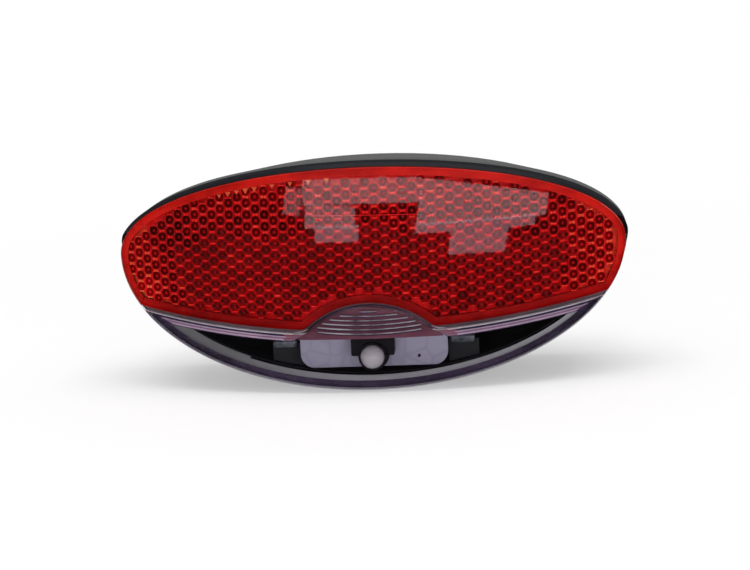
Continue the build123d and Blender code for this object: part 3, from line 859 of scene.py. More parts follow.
# Clear wall colours seen from the front: painted light in the violet, lilac, rose and lip colours,
# painted shade in the dark one
WALL_VIOLET = PaintedLightWall("wall_violet", shade=(0.16, 0.09, 0.13), light=(0.30, 0.19, 0.25))
WALL_LILAC = PaintedLightWall("wall_lilac", shade=(0.36, 0.25, 0.34), light=(0.58, 0.42, 0.54))
WALL_ROSE = PaintedLightWall("wall_rose", shade=(0.16, 0.05, 0.07), light=(0.34, 0.11, 0.14))
# Painted light and shade on the window's edge over the bump
BUMP_EDGE = PaintedLightWall("bump_edge", shade=(0.085, 0.03, 0.045), light=(0.20, 0.13, 0.16))
WALL_LIP = PaintedLightWall("wall_lip", shade=(0.12, 0.085, 0.09), light=(0.22, 0.17, 0.18))
# Painted shade where a dark band shows from the front
WALL_DARK = PaintedLightWall("wall_dark", shade=(0.018, 0.012, 0.024), light=(0.075, 0.05, 0.10))
# Pale band of painted light on the inner side of the rim wall
WALL_GREY = InnerWall("wall_grey")
WALL_SMOKY = SmokyWall("wall_smoky", tint=(0.86, 0.85, 0.88), streak=(0.10, 0.08, 0.12), share=0.15)
# Painted highlight: bright lines along the clear wall
WALL_HIGHLIGHT_LINE = PaintedLightWall("wall_highlight_line", shade=(0.80, 0.76, 0.80), light=(0.95, 0.93, 0.95), through=0.3)
# Finishes of the wall's bands in order, in painted light and shade
WALLS = (WALL_DARK, WALL_VIOLET, WALL_GREY, WALL_LIP, WALL_ROSE, WALL_HIGHLIGHT_LINE, WALL_SMOKY,
         WALL_LILAC)
HIDDEN_BANDS = (WALL_DARK,) * 6
BELOW_BUMP = HIDDEN_BANDS + (WALL_ROSE, WALL_ROSE, WALL_ROSE, WALL_DARK, WALL_DARK, WALL_LIP,
                             WALL_DARK)
BELOW_SHOULDER = HIDDEN_BANDS + (WALL_VIOLET, WALL_ROSE, WALL_VIOLET, WALL_ROSE, WALL_HIGHLIGHT_LINE,
                                 WALL_LIP, WALL_DARK)
BESIDE_BUMP = HIDDEN_BANDS + (WALL_LILAC, WALL_VIOLET, WALL_LILAC, WALL_DARK, WALL_HIGHLIGHT_LINE, WALL_LIP,
                              WALL_DARK)
# Clear snap arms painted dark, with lighter patches of painted light
ARM_GREY = PaintedLightWall("arm_grey", shade=(0.03, 0.032, 0.04), light=(0.22, 0.24, 0.27), through=0.3,
                       grain=(9, 1, 9))
HOUSING = HousingPlastic("housing_black")
BLACK_PART = MouldedPlastic("moulded_black", colour=(0.006, 0.005, 0.006), worn=(0.014, 0.012, 0.013),
                            roughness=0.42, specular=0.15)
BLACK_PLATE = MouldedPlastic("plate_black", colour=(0.008, 0.007, 0.008), worn=(0.016, 0.014, 0.015))
RUBBER = MouldedPlastic("seal_rubber", colour=(0.012, 0.012, 0.012), worn=(0.03, 0.03, 0.03),
                        roughness=0.75, grain=1200.0)
SLEEVE = MouldedPlastic("capacitor_sleeve", colour=(0.05, 0.06, 0.10), worn=(0.07, 0.08, 0.13),
                        roughness=0.35, grain=900.0)
CERAMIC = MouldedPlastic("resistor_ceramic", colour=(0.02, 0.02, 0.022), worn=(0.04, 0.04, 0.043),
                         roughness=0.3)
TIN = PlainMetal("tinned_lead", colour=(0.66, 0.65, 0.63), dull=(0.48, 0.47, 0.46))
ZINC = PlainMetal("zinc_plate", colour=(0.62, 0.63, 0.64), dull=(0.42, 0.43, 0.45), roughness=0.32)
STUD = ThreadedMetal("stud_thread", colour=(0.66, 0.67, 0.68), dull=(0.20, 0.20, 0.21),
                     roughness=0.30)
SPRING = PlainMetal("spring_plate", colour=(0.45, 0.45, 0.46), dull=(0.28, 0.28, 0.30),
                    roughness=0.35)
BRASS = PlainMetal("tinned_brass", colour=(0.62, 0.55, 0.38), dull=(0.45, 0.38, 0.22), roughness=0.3)
SOLDER = PlainMetal("solder_tin", colour=(0.7, 0.7, 0.7), dull=(0.5, 0.5, 0.5), roughness=0.22,
                    stretch=(1, 1, 1))
DIE = PlainMetal("die_gold", colour=(0.75, 0.6, 0.2), dull=(0.55, 0.42, 0.15), roughness=0.4)
BOARD = BoardCoat("board_lacquer")
GROUND = StudioGround("studio_ground")

NODES_BY_FINISH: dict[Finish, Sequence[str]] = {
    HOUSING: ("housing",),
    BLACK_PLATE: ("reflector_back_plate",),
    RUBBER: ("lens_seal", "bolt_seals"),
    BOARD: ("circuit_board",),
    ZINC: ("board_screws", "bolt_washer"),
    BLACK_PART: ("led_holder", "capacitor_base", "bridge_rectifier", "limiter_diode",
                 "current_transistor"),
    TIN: ("led_leads", "capacitor_legs", "rectifier_legs", "diode_tabs", "transistor_legs",
          "resistor_caps"),
    DIE: ("led_chip",),
    SLEEVE: ("storage_capacitor",),
    CERAMIC: ("chip_resistors",),
    BRASS: ("live_terminal", "ground_terminal", "ground_strip"),
    STUD: ("mounting_bolts",),
    SPRING: ("star_washers",),
    SOLDER: ("solder_joints",),
}


# Form of the lens front


@dataclass(frozen=True)
class LensForm:
    """Outline and ball of the lens front, in the sizes of the solids."""

    half_width: float = 54.0 * MM
    rise: float = 18.3 * MM
    drop: float = 28.8 * MM
    tip: float = 5.0 * MM
    apex: float = 38.0 * MM
    radius: float = 104.0 * MM
    divider_level: float = -15.6 * MM
    divider_radius: float = 260.0 * MM
    bump_rise: float = 5.9 * MM
    bump_radius: float = 19.0 * MM
    fillet: float = 2.2 * MM
    shoulder_from: float = 13.5 * MM
    shoulder_width: float = 3.0 * MM

    def on_ball(self, x: float, z: float, radius: float) -> Vector:
        """Point on a ball that shares the centre of the lens front.

        Args:
            x: Place across.
            z: Height.
            radius: Radius of the ball.

        Returns:
            The point.
        """
        level = z - self.tip
        depth = math.sqrt(max(radius * radius - x * x - level * level, 0.0))
        return Vector((x, self.radius - self.apex - depth, z))

    def upper(self, x: float, inset: float = 0.0) -> float:
        """Height of the upper outline at x, drawn in by an inset."""
        share = min(abs(x) / (self.half_width - inset), 1.0)
        return self.tip + (self.rise - inset) * math.sqrt(1.0 - share * share)

    def lower(self, x: float, inset: float = 0.0) -> float:
        """Height of the lower outline at x, drawn in by an inset."""
        share = min(abs(x) / (self.half_width - inset), 1.0)
        return self.tip - (self.drop - inset) * math.sqrt(1.0 - share * share)

    def divider(self, x: float, grow: float = 0.0) -> float:
        """Height of the dividing line with its bump at x, moved up by a width.

        Args:
            x: Place across.
            grow: Width by which the line moves towards the red lens.

        Returns:
            The height.
        """
        x = abs(x)
        base = self.tip + self.divider_level
        arc_centre = base + self.divider_radius
        bump_centre = base + self.bump_rise - self.bump_radius
        reach = self.bump_radius + self.fillet
        inner = self.divider_radius - self.fillet
        span = arc_centre - bump_centre
        up = (reach * reach - inner * inner + span * span) / (2 * span)
        fillet_x = math.sqrt(reach * reach - up * up)
        fillet_z = bump_centre + up
        near = fillet_x * self.bump_radius / reach
        far = fillet_x * self.divider_radius / inner
        bump = self.bump_radius + grow
        arc = self.divider_radius - grow
        if x < near * bump / self.bump_radius:
            return bump_centre + math.sqrt(bump * bump - x * x)
        if x < far:
            small = self.fillet - grow
            return fillet_z - math.sqrt(max(small * small - (x - fillet_x) ** 2, 0.0))
        return arc_centre - math.sqrt(arc * arc - x * x)

    def meeting(self, line: Callable[[float], float], inset: float = 0.0) -> float:
        """Place across where a line meets the lower outline.

        Args:
            line: Height of the line at a place across.
            inset: Width by which the lower outline is drawn in.

        Returns:
            The place on the right side.
        """
        low, high = self.half_width / 2, self.half_width - inset
        for _ in range(40):
            middle = (low + high) / 2
            if line(middle) > self.lower(middle, inset):
                low = middle
            else:
                high = middle
        return low

    def red_span(self, x: float, inset: float) -> Point:
        """Lowest and highest point of the red lens at x, drawn in by an inset."""
        low = max(self.divider(x, inset), self.lower(x, inset))
        return low, max(self.upper(x, inset), low)

    def clear_span(self, x: float, inset: float, edge_inset: float) -> Point:
        """Lowest and highest point of the clear lens at x, drawn in at the divider and the rim."""
        low = self.lower(x, edge_inset)
        return low, max(self.divider(x, -inset), low)

    def red_outline(self, gap: float, count: int) -> list[Point]:
        """Anticlockwise outline of the red lens.

        Args:
            gap: Width kept free along the dividing line.
            count: Points along each of its two long edges, about.

        Returns:
            The points.
        """
        end = self.meeting(lambda x: self.divider(x, gap))
        start_angle = math.acos(end / self.half_width)
        corner = max(int(count * start_angle / math.pi), 2)
        above = [self.half_width * math.cos(math.pi * place / count) for place in range(count)]
        below = [self.half_width * math.cos(start_angle * place / corner)
                 for place in range(corner)]
        along = [-end + 2 * end * place / count for place in range(count + 1)]
        return ([(x, self.upper(x)) for x in above] + [(-x, self.lower(x)) for x in below]
                + [(x, self.divider(x, gap)) for x in along]
                + [(x, self.lower(x)) for x in below[:0:-1]])

    def ledge(self, x: float, depth: float, bump_depth: float) -> float:
        """Height of a line below the dividing line, at one depth beside the bump and one on it."""
        share = min(max((abs(x) - self.shoulder_from) / self.shoulder_width, 0.0), 1.0)
        return self.divider(x, -(bump_depth + (depth - bump_depth) * share))

    def clear_outline(self, count: int, depth: float = 0.0, rim_depth: float = 0.0,
                      bump_depth: float = 0.0) -> list[Point]:
        """Anticlockwise outline of the clear lens, drawn in.

        Args:
            count: Points along each of its two edges: first the rim, then the dividing line.
            depth: Width drawn in from the dividing line beside the bump.
            rim_depth: Width drawn in from the rim.
            bump_depth: Width drawn in from the dividing line on the bump.

        Returns:
            The points.
        """
        end = self.meeting(lambda x: self.ledge(x, depth, bump_depth), rim_depth)
        across = [end * math.cos(math.pi * place / count) for place in range(count)]
        return ([(-x, self.lower(x, rim_depth)) for x in across]
                + [(x, self.ledge(x, depth, bump_depth)) for x in across])


FORM = LensForm()


def sine_place(half_width: float, u: float) -> float:
    """Place across for u in 0 to 1, closer together near both ends."""
    return half_width * math.sin(math.pi * (u - 0.5))


def ball_area(across: Callable[[float], float], span: Callable[[float], Point],
              radius: float) -> Place:
    """Point function of an area on a ball that shares the centre of the lens front.

    Args:
        across: Place across for u in 0 to 1.
        span: Lowest and highest point of the area at a place across.
        radius: Radius of the ball.

    Returns:
        Function of u, v.
    """
    def place(u: float, v: float) -> Vector:
        """Point of the area.

        Args:
            u: Share of the way across.
            v: Share of the way up.

        Returns:
            The point.
        """
        x = across(u)
        low, high = span(x)
        return FORM.on_ball(x, low + (high - low) * v, radius)
    return place


def band_loops(*rings: tuple[Sequence[Point], float]) -> list[list[Vector]]:
    """Loops on balls, each from an outline and a radius."""
    return [[FORM.on_ball(x, z, radius) for x, z in outline] for outline, radius in rings]


# Red lens


@dataclass
class RedLens:
    """Red lens: polished cover, a wall in painted light, and the field of reflector cells behind it
    in painted light and shade.
    """

    cover: float = 0.8 * MM
    wall: float = 1.6 * MM
    depth: float = 8.0 * MM
    gap: float = 0.08 * MM
    edge_round: float = 0.25 * MM
    bed_depth: float = 2.1 * MM
    bed_thickness: float = 0.5 * MM
    front_gap: float = 0.15 * MM
    cell_depth: float = 0.62 * MM
    column_pitch: float = 1.925 * MM
    row_pitch: float = 2.443 * MM
    field_margin: float = 2.05 * MM
    cell_gap: float = 0.03 * MM
    first_column: float = 0.4 * MM
    first_row: float = 0.6 * MM
    ring_radius: float = 0.93 * MM
    dot_radius: float = 0.27 * MM
    # Painted glints between the outermost cells and the upper border
    glint_size: float = 0.85 * MM
    glint_from: float = -31.0 * MM
    glint_to: float = -4.0 * MM
    glint_sparse_from: float = -22.0 * MM
    seam_width: float = 0.16 * MM
    seam_lines: Sequence[tuple[Point, Point]] = (
        ((-12.05 * MM, 19.7 * MM), (-12.4 * MM, 11.3 * MM)),
        ((11.15 * MM, 16.2 * MM), (11.05 * MM, 13.35 * MM)),
        ((-12.3 * MM, 13.8 * MM), (11.05 * MM, 13.35 * MM)),
    )
    columns: int = 230
    rows: int = 26
    ring_floor: float = 7.0 * MM
    ring_slope: float = 0.1
    ring_ends: float = 41.0 * MM
    patch_scale: float = 160.0
    patch_wobble: float = 4.0 * MM
    # Painted light and shade of the cells: dark hollows, lighter dots, bright horizontal edges,
    # darker slanted sides
    ring_glow: Sequence[float] = (0.0, 0.10, 0.12, 0.36)
    cube_glow: Sequence[float] = (0.0, 0.24, 0.18, 0.32)
    cube_shade: Sequence[float] = (0.0, 0.03, 0.08, 0.32)
    rim_glow: Point = (0.38, 0.66)
    shade_scale: float = 900.0
    shade_share: float = 0.12
    shade_dim: float = 0.02
    glint_glow: float = 0.98
    seam_glow: float = 0.55
    bed_base_glow: float = 0.60
    # Painted light towards the top, both ends and the lower left end
    top_glow_from: float = 0.40
    top_glow_gain: float = 0.28
    left_glow: Point = (0.78, 1.1)
    right_glow: Point = (0.70, 0.8)
    lower_left_glow: Point = (0.60, 0.5)
    # Where seams are in painted shade; the others take painted light
    dark_seam_from: float = -11.5 * MM
    dark_seam_above: float = 14.0 * MM

    def build(self) -> None:
        """Build and dress the pieces of the lens."""
        cover = self.build_cover()
        walls = self.build_walls()
        cells = self.build_cells()
        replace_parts(cover, "red_lens")
        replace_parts(walls, "red_lens")
        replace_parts(cells, "red_lens")
        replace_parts(self.build_seams(), "red_lens")

    def point(self, radius: float, inset: float) -> Place:
        """Point function of the lens area on one ball, drawn in by an inset."""
        return ball_area(lambda u: sine_place(FORM.half_width - inset, u),
                         lambda x: FORM.red_span(x, inset), radius)

    def build_cover(self) -> Piece:
        """Polished front of the lens.

        Returns:
            The piece.
        """
        bm = bmesh.new()
        add_patch(bm, self.columns, self.rows, self.point(FORM.radius, self.gap),
                  self.point(FORM.radius - self.cover, self.gap), self.edge_round)
        bmesh.ops.remove_doubles(bm, verts=bm.verts[:], dist=MERGE)
        # Rounded edge in a painted highlight, sides in the painted light of the red walls
        mark_rim(bm, 1, 2)
        return finished(bm, "red_cover", [RED_COVER, RED_EDGE_HIGHLIGHT, BORDER_RED])

    def build_walls(self) -> Piece:
        """Wall round the lens.

        Returns:
            The piece.
        """
        bm = bmesh.new()
        outer = FORM.red_outline(self.gap, self.columns)
        inner = offset_outline(outer, self.wall)
        front, back = FORM.radius - self.cover, FORM.radius - self.depth
        add_band(bm, band_loops((outer, front), (outer, back), (inner, back), (inner, front)))
        # The wall takes the painted light of the red walls
        return finished(bm, "red_wall", [BORDER_RED])

    def inside_field(self, x: float, z: float, margin: float) -> bool:
        """Tell whether a place lies inside the field.

        Args:
            x: Place across.
            z: Height.
            margin: Least distance from the field's border.

        Returns:
            Whether it does.
        """
        if abs(x) >= FORM.half_width - margin:
            return False
        low, high = FORM.red_span(x, margin)
        return low < z < high

    def kind_of(self, x: float, z: float) -> CellKind:
        """Kind of the cell at a place: rings near the upper and side borders, cubes below.

        Args:
            x: Place across.
            z: Height.

        Returns:
            The kind.
        """
        wobble = noise.noise(Vector((x, z, 0.0)) * self.patch_scale) * self.patch_wobble
        is_high = z - FORM.tip > self.ring_floor - self.ring_slope * abs(x) + wobble
        at_end = abs(x) > self.ring_ends + wobble
        return CellKind.RING if is_high or at_end else CellKind.CUBE

    def build_cells(self) -> Piece:
        """All cells of the field and the bed behind them, with a value of painted light and shade for
        each face.

        Returns:
            The piece.
        """
        bm = bmesh.new()
        painted_glow = bm.faces.layers.float.new("painted_glow")
        bed_front = FORM.radius - self.bed_depth
        add_patch(bm, self.columns, self.rows, self.point(bed_front, self.wall / 2),
                  self.point(bed_front - self.bed_thickness, self.wall / 2))
        # The bed in painted light, brighter towards the ends
        for face in bm.faces:
            face[painted_glow] = self.bed_glow(face.calc_center_median())
        steps = int(FORM.half_width / self.column_pitch) + 1
        rises = int(FORM.drop / self.row_pitch) + 2
        count = 0
        for column in range(-steps, steps + 1):
            for row in range(-rises, rises + 1):
                x = self.first_column + column * self.column_pitch
                z = FORM.tip + self.first_row + (row + (column % 2) / 2) * self.row_pitch
                if self.inside_field(x, z, self.field_margin):
                    self.add_cell(bm, painted_glow, x, z)
                    count += 1
                elif self.has_glint(column, x, z):
                    self.add_glint(bm, painted_glow, x)
        log.info("reflector cells: %d", count)
        return finished(bm, "red_prisms", [CELL_RED], 25.0)

    def add_cell(self, bm: Mesh, painted_glow: bmesh.types.BMLayerItem, x: float, z: float) -> None:
        """Add one cell, with painted light and shade on its faces.

        Args:
            bm: Mesh to add to.
            painted_glow: Face layer for the brightness.
            x: Place of the cell's middle across.
            z: Height of the cell's middle.
        """
        front = FORM.radius - self.cover - self.front_gap
        half_row = self.row_pitch / 2 - self.cell_gap
        outer = self.column_pitch * 2 / 3
        inner = outer / 2
        rim = [(outer, 0), ((outer + inner) / 2, half_row / 2), (inner, half_row), (0, half_row),
               (-inner, half_row), (-(outer + inner) / 2, half_row / 2)]
        rim += [(-a, -b) for a, b in rim]
        kind = self.kind_of(x, z)
        shade = noise.noise(Vector((x * self.shade_scale, z * self.shade_scale, 7.0)))
        rings = self.ring_rows(rim) if kind is CellKind.RING else self.cube_rows(rim)
        verts = [
            [bm.verts.new(FORM.on_ball(x + a, z + b, front - depth)) for (a, b), depth in ring]
            for ring in rings
        ]
        # Painted light towards the ends and the top, with random variation
        lift = self.end_glow(x, z) + self.top_glow(z) + self.shade_share * shade - self.shade_dim
        for ring, (first, second) in enumerate(zip(verts, verts[1:])):
            for place in range(len(first)):
                after = (place + 1) % len(first)
                face = bm.faces.new((first[place], first[after], second[after], second[place]))
                face[painted_glow] = self.cell_glow(kind, ring, place) + lift
        cap = bm.faces.new(verts[-1])
        cap[painted_glow] = self.cell_glow(kind, len(verts) - 1, 0) + lift

    def has_glint(self, column: int, x: float, z: float) -> bool:
        """Tell whether a painted glint stands over a column of cells."""
        sparse = x > self.glint_sparse_from and column % 2
        return z > FORM.tip and self.glint_from < x < self.glint_to and not sparse

    def add_glint(self, bm: Mesh, painted_glow: bmesh.types.BMLayerItem, x: float) -> None:
        """Add one painted glint between the outermost cells and the upper border.

        Args:
            bm: Mesh to add to.
            painted_glow: Face layer for the brightness.
            x: Place across.
        """
        level = FORM.upper(x, self.wall + self.glint_size * 0.6)
        size = self.glint_size * (0.8 + 0.5 * noise.noise(Vector((x * 700.0, 0.0, 2.0))))
        made = bmesh.ops.create_circle(bm, cap_ends=True, segments=3, radius=size)
        front = FORM.radius - self.cover - self.front_gap / 2
        for vert in made["verts"]:
            vert.co = FORM.on_ball(x + vert.co.x, level - vert.co.y, front)
        for face in {face for vert in made["verts"] for face in vert.link_faces}:
            face[painted_glow] = self.glint_glow

    def build_seams(self) -> Piece:
        """Fine seams where the blocks of cells meet, some in painted shade and the rest in painted
        light.

        Returns:
            The piece.
        """
        bm = bmesh.new()
        painted_glow = bm.faces.layers.float.new("painted_glow")
        front = FORM.radius - self.cover - self.front_gap / 3

        def strip(start: Point, end: Point, radius: float) -> Place:
            """Point function of a strip along one seam.

            Args:
                start: First end of the seam.
                end: Last end of the seam.
                radius: Radius of the ball that the strip lies on.

            Returns:
                Function of u, v.
            """
            along = (Vector(end) - Vector(start)).normalized() * self.seam_width
            across = Vector((-along.y, along.x))

            def place(u: float, v: float) -> Vector:
                """Point at u along the strip and v across it."""
                spot = Vector(start).lerp(Vector(end), u) + across * (v - 0.5)
                return FORM.on_ball(spot.x, spot.y, radius)
            return place
        for start, end in self.seam_lines:
            add_patch(bm, 16, 1, strip(start, end, front), strip(start, end, front - self.cover))
        for face in bm.faces:
            middle = face.calc_center_median()
            # Painted shade on the seams' parts far left and high up, painted light on the rest
            dark = middle.x < self.dark_seam_from or middle.z > self.dark_seam_above
            face[painted_glow] = 0.0 if dark else self.seam_glow
        return finished(bm, "red_seams", [CELL_RED])

    def bed_glow(self, place: Vector) -> float:
        """Painted light of the bed, which shows as painted glints between the outermost cells."""
        return self.bed_base_glow + self.end_glow(place.x, place.z)

    def top_glow(self, z: float) -> float:
        """Painted light added towards the upper border."""
        return self.top_glow_gain * max((z - FORM.tip) / FORM.rise - self.top_glow_from, 0.0)

    def end_glow(self, x: float, z: float) -> float:
        """Painted light added towards both ends of the lens.

        Args:
            x: Place across.
            z: Height.

        Returns:
            The painted light to add.
        """
        share = x / FORM.half_width
        sides = [(-share, self.left_glow), (share, self.right_glow)]
        if z < 0.0:
            sides.append((-share, self.lower_left_glow))
        return sum(gain * max(reach - start, 0.0) for reach, (start, gain) in sides)

    def cell_glow(self, kind: CellKind, ring: int, place: int) -> float:
        """Painted light and shade of one face of a cell.

        Args:
            kind: Kind of the cell.
            ring: Number of the face's ring, from the rim inwards.
            place: Number of the face in its ring, from the right side anticlockwise.

        Returns:
            The painted brightness, from 0 for painted shade to 1 for a painted glint.
        """
        # Painted highlight on the rim's horizontal edges, painted shade on the others
        if ring == 0:
            dim, bright = self.rim_glow
            return bright if place % 6 in (2, 3) else dim
        if kind is CellKind.RING:
            return self.ring_glow[ring]
        # Cube cells: painted shade on the side faces
        return (self.cube_shade if place % 6 in (0, 5) else self.cube_glow)[ring]

    def ring_rows(self, rim: Sequence[Point]) -> list[list[tuple[Point, float]]]:
        """Loops of a cell with a round hollow and a dot in its middle.

        Args:
            rim: Outline of the cell.

        Returns:
            The loops, with a depth for each point.
        """
        return [
            [(point, 0.0) for point in rim],
            self.circle(self.ring_radius, 0.2),
            self.circle(0.62 * self.ring_radius, 1.0),
            self.circle(self.dot_radius, 0.45),
        ]

    def circle(self, radius: float, depth: float) -> list[tuple[Point, float]]:
        """Twelve points round a cell's middle, at a share of the cell's depth."""
        angles = [math.pi * step / 6 for step in range(12)]
        return [((radius * math.cos(angle), radius * 1.1 * math.sin(angle)),
                 depth * self.cell_depth) for angle in angles]

    def cube_rows(self, rim: Sequence[Point]) -> list[list[tuple[Point, float]]]:
        """Loops of a cell with slanted faces that meet in its middle.

        Args:
            rim: Outline of the cell.

        Returns:
            The loops, with a depth for each point.
        """
        def inward(share: float, depths: Sequence[float]) -> list[tuple[Point, float]]:
            """The rim drawn in to a share, at depths that take turns."""
            return [((a * share, b * share), depths[place % len(depths)] * self.cell_depth)
                    for place, (a, b) in enumerate(rim)]
        return [
            inward(1.0, (0.0,)),
            inward(0.84, (0.1, 0.25, 0.3, 0.2)),
            inward(0.48, (0.9, 0.7, 0.5, 0.7)),
            inward(0.20, (0.6,)),
        ]


# Clear lens


@dataclass
class ClearLens:
    """Clear lens: flush lip, proud window, thick wall, snap arms and ribs behind the bump."""

    lip: float = 0.8 * MM
    edge_inset: float = 0.3 * MM
    proud: float = 0.6 * MM
    skin: float = 1.2 * MM
    depth: float = 8.0 * MM
    edge_round: float = 0.3 * MM
    ledge_depth: float = 2.9 * MM
    rim_depth: float = 1.9 * MM
    bump_depth: float = 1.1 * MM
    steps: Sequence[float] = (0.94, 0.82, 0.70, 0.62, 0.46, 0.30, 0.08)
    strip: float = 1.5 * MM
    back_edge: float = 1.6 * MM
    wedge_end: float = -27.0 * MM
    columns: int = 230
    rows: int = 20
    rib_count: int = 6
    rib_pitch: float = 0.97 * MM
    rib_width: float = 0.22 * MM
    rib_depth: float = 0.5 * MM
    rib_bow: float = 90.0 * MM
    rib_top_margin: float = 2.0 * MM
    rib_side_margin: float = 1.9 * MM
    rib_half: float = 10.8 * MM
    rib_gap: float = 0.02 * MM
    rib_back: Point = (0.9, 1.1)
    rib_shade_shift: float = -1.05
    bed_share: float = 0.8
    bed_drop: float = 2.1 * MM
    bump_half: float = 13.0 * MM
    shoulder_half: float = 18.0 * MM
    arm_x: float = 19.0 * MM
    arm_level: float = -20.6 * MM
    arm_size: Point = (5.0 * MM, 1.5 * MM)

    def build(self) -> None:
        """Build and dress the pieces of the lens."""
        pieces = (self.build_window(), self.build_lip(), self.build_walls(), self.build_arms(),
                  self.build_rib_bed(), self.build_ribs())
        for piece in pieces:
            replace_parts(piece, "clear_lens")

    def point(self, radius: float, inset: float, edge_inset: float) -> Place:
        """Point function of the window area on one ball.

        Args:
            radius: Radius of the ball.
            inset: Width drawn in from the dividing line.
            edge_inset: Width drawn in from the rim.

        Returns:
            Function of u, v.
        """
        end = FORM.meeting(lambda x: FORM.divider(x, -inset), edge_inset)
        return ball_area(lambda u: sine_place(end, u),
                         lambda x: FORM.clear_span(x, inset, edge_inset), radius)

    def build_window(self) -> Piece:
        """Pane that stands proud of the red lens, with a rounded edge in a painted highlight.

        Returns:
            The piece.
        """
        bm = bmesh.new()
        add_patch(bm, self.columns, self.rows,
                  self.point(FORM.radius + self.proud, self.lip, self.edge_inset),
                  self.point(FORM.radius - self.skin, self.lip, self.edge_inset),
                  self.edge_round, 3)
        bmesh.ops.remove_doubles(bm, verts=bm.verts[:], dist=MERGE)
        # Rounded edge and step of the window in a painted highlight
        mark_rim(bm, 1, 1)
        # Over the bump, the edge takes darker painted light and shade
        for face in bm.faces:
            middle = face.calc_center_median()
            on_bump = abs(middle.x) < self.bump_half and middle.z > self.bump_base() - self.proud
            if face.material_index == 1 and on_bump:
                face.material_index = 2
        return finished(bm, "clear_window", [CLEAR_PANE, CLEAR_EDGE_HIGHLIGHT, BUMP_EDGE])

    def build_lip(self) -> Piece:
        """Flush lip between the window and the red lens.

        Returns:
            The piece.
        """
        bm = bmesh.new()
        outer = FORM.clear_outline(self.columns)
        inner = FORM.clear_outline(self.columns, self.lip, self.lip, self.lip)
        front, back = FORM.radius, FORM.radius - self.skin
        add_band(bm, band_loops((outer, front), (outer, back), (inner, back), (inner, front)))
        return finished(bm, "clear_lip", [CLEAR_PANE])

    def build_walls(self) -> Piece:
        """Wall all round the lens, whose front is layered along the dividing line.

        Returns:
            The piece.
        """
        bm = bmesh.new()
        front, back = FORM.radius - self.skin, FORM.radius - self.depth
        outlines = [
            FORM.clear_outline(self.columns, share * self.ledge_depth, share * self.rim_depth,
                               share * self.bump_depth)
            for share in (0.0, 1.0, *self.steps)
        ]
        outer, inner, *between = outlines
        loops = [(outer, front), (outer, back), (inner, back), (inner, back + self.back_edge),
                 (inner, front - self.strip), (inner, front)]
        loops += [(outline, front) for outline in between]
        # Bands in the colours of painted light and shade that wall_slot gives
        add_band(bm, band_loops(*loops), self.wall_slot)
        return finished(bm, "clear_wall", WALLS)

    def wall_slot(self, band: int, middle: Vector) -> int:
        """Number of the wall's finish for a face.

        Args:
            band: Number of the band of faces round the wall.
            middle: Middle of the face.

        Returns:
            The material index.
        """
        # Each band takes its colour of painted light and shade by where it lies
        on_rim = middle.z - FORM.lower(middle.x) < FORM.divider(middle.x) - middle.z
        if on_rim:
            # A pale wedge of painted light towards the left end, painted shade elsewhere
            behind = WALL_GREY if middle.x < self.wedge_end else WALL_DARK
            bands = (WALL_SMOKY, WALL_DARK, behind, WALL_GREY, WALL_GREY) + (WALL_DARK,) * 8
        elif abs(middle.x) < self.bump_half:
            bands = BELOW_BUMP
        elif abs(middle.x) < self.shoulder_half:
            bands = BELOW_SHOULDER
        else:
            bands = BESIDE_BUMP
        return WALLS.index(bands[band])

    def build_arms(self) -> Piece:
        """Two snap arms behind the lens.

        Returns:
            The piece.
        """
        bm = bmesh.new()
        width, thick = self.arm_size
        z = FORM.tip + self.arm_level
        for side in (-1, 1):
            x = side * self.arm_x
            start = FORM.on_ball(x, z, FORM.radius - self.depth + self.skin).y
            made = bmesh.ops.create_cube(bm, size=1.0)
            bmesh.ops.scale(bm, vec=(width, self.depth, thick), verts=made["verts"])
            bmesh.ops.translate(bm, vec=(x, start + self.depth / 2, z + thick / 2),
                                verts=made["verts"])
            edges = list(dict.fromkeys(edge for vert in made["verts"] for edge in vert.link_edges))
            bmesh.ops.bevel(bm, geom=edges, offset=thick / 5, segments=2, profile=0.5,
                            affect="EDGES", material=-1)
        return finished(bm, "clear_arms", [ARM_GREY])

    def bump_base(self) -> float:
        """Height at which the bump stands."""
        return FORM.tip + FORM.divider_level

    def build_rib_bed(self) -> Piece:
        """Sheet behind the ribs, coloured in pink painted light.

        Returns:
            The piece.
        """
        bm = bmesh.new()
        half = FORM.bump_radius * self.bed_share
        low = self.bump_base() - self.bed_drop
        front = FORM.radius - self.skin - self.rib_depth
        sheets = [ball_area(lambda u: (2 * u - 1) * half,
                            lambda x: (low, FORM.divider(x, -self.bump_depth)), radius)
                  for radius in (front, front - self.rib_depth / 2)]
        add_patch(bm, 60, 8, *sheets)
        return finished(bm, "clear_rib_bed", [RIB_BED])

    def build_ribs(self) -> Piece:
        """Fine ribs behind the bump, each bowed down in its middle, in a painted highlight with a
        dark copy below it as painted shade.

        Returns:
            The piece.
        """
        bm = bmesh.new()
        bump_centre = self.bump_base() + FORM.bump_rise - FORM.bump_radius
        for rib in range(self.rib_count):
            level = self.bump_base() + FORM.bump_rise - self.rib_top_margin - rib * self.rib_pitch
            reach = FORM.bump_radius - self.rib_side_margin
            half = math.sqrt(max(reach * reach - (level - bump_centre) ** 2, 0.0))
            half = min(half, self.rib_half)
            # First copy in the painted highlight, the shifted second copy in painted shade below it
            for slot, shift in enumerate((0.0, self.rib_shade_shift * self.rib_width)):
                for face in self.add_rib(bm, level + shift, half):
                    face.material_index = slot
        return finished(bm, "clear_ribs", [RIB_PLASTIC, WALL_DARK])

    def rib_span(self, x: float, level: float, width: float) -> Point:
        """Lowest and highest point of a bowed rib at a place across."""
        middle = level + self.rib_bow - math.sqrt(self.rib_bow ** 2 - x * x)
        return middle - width / 2, middle + width / 2

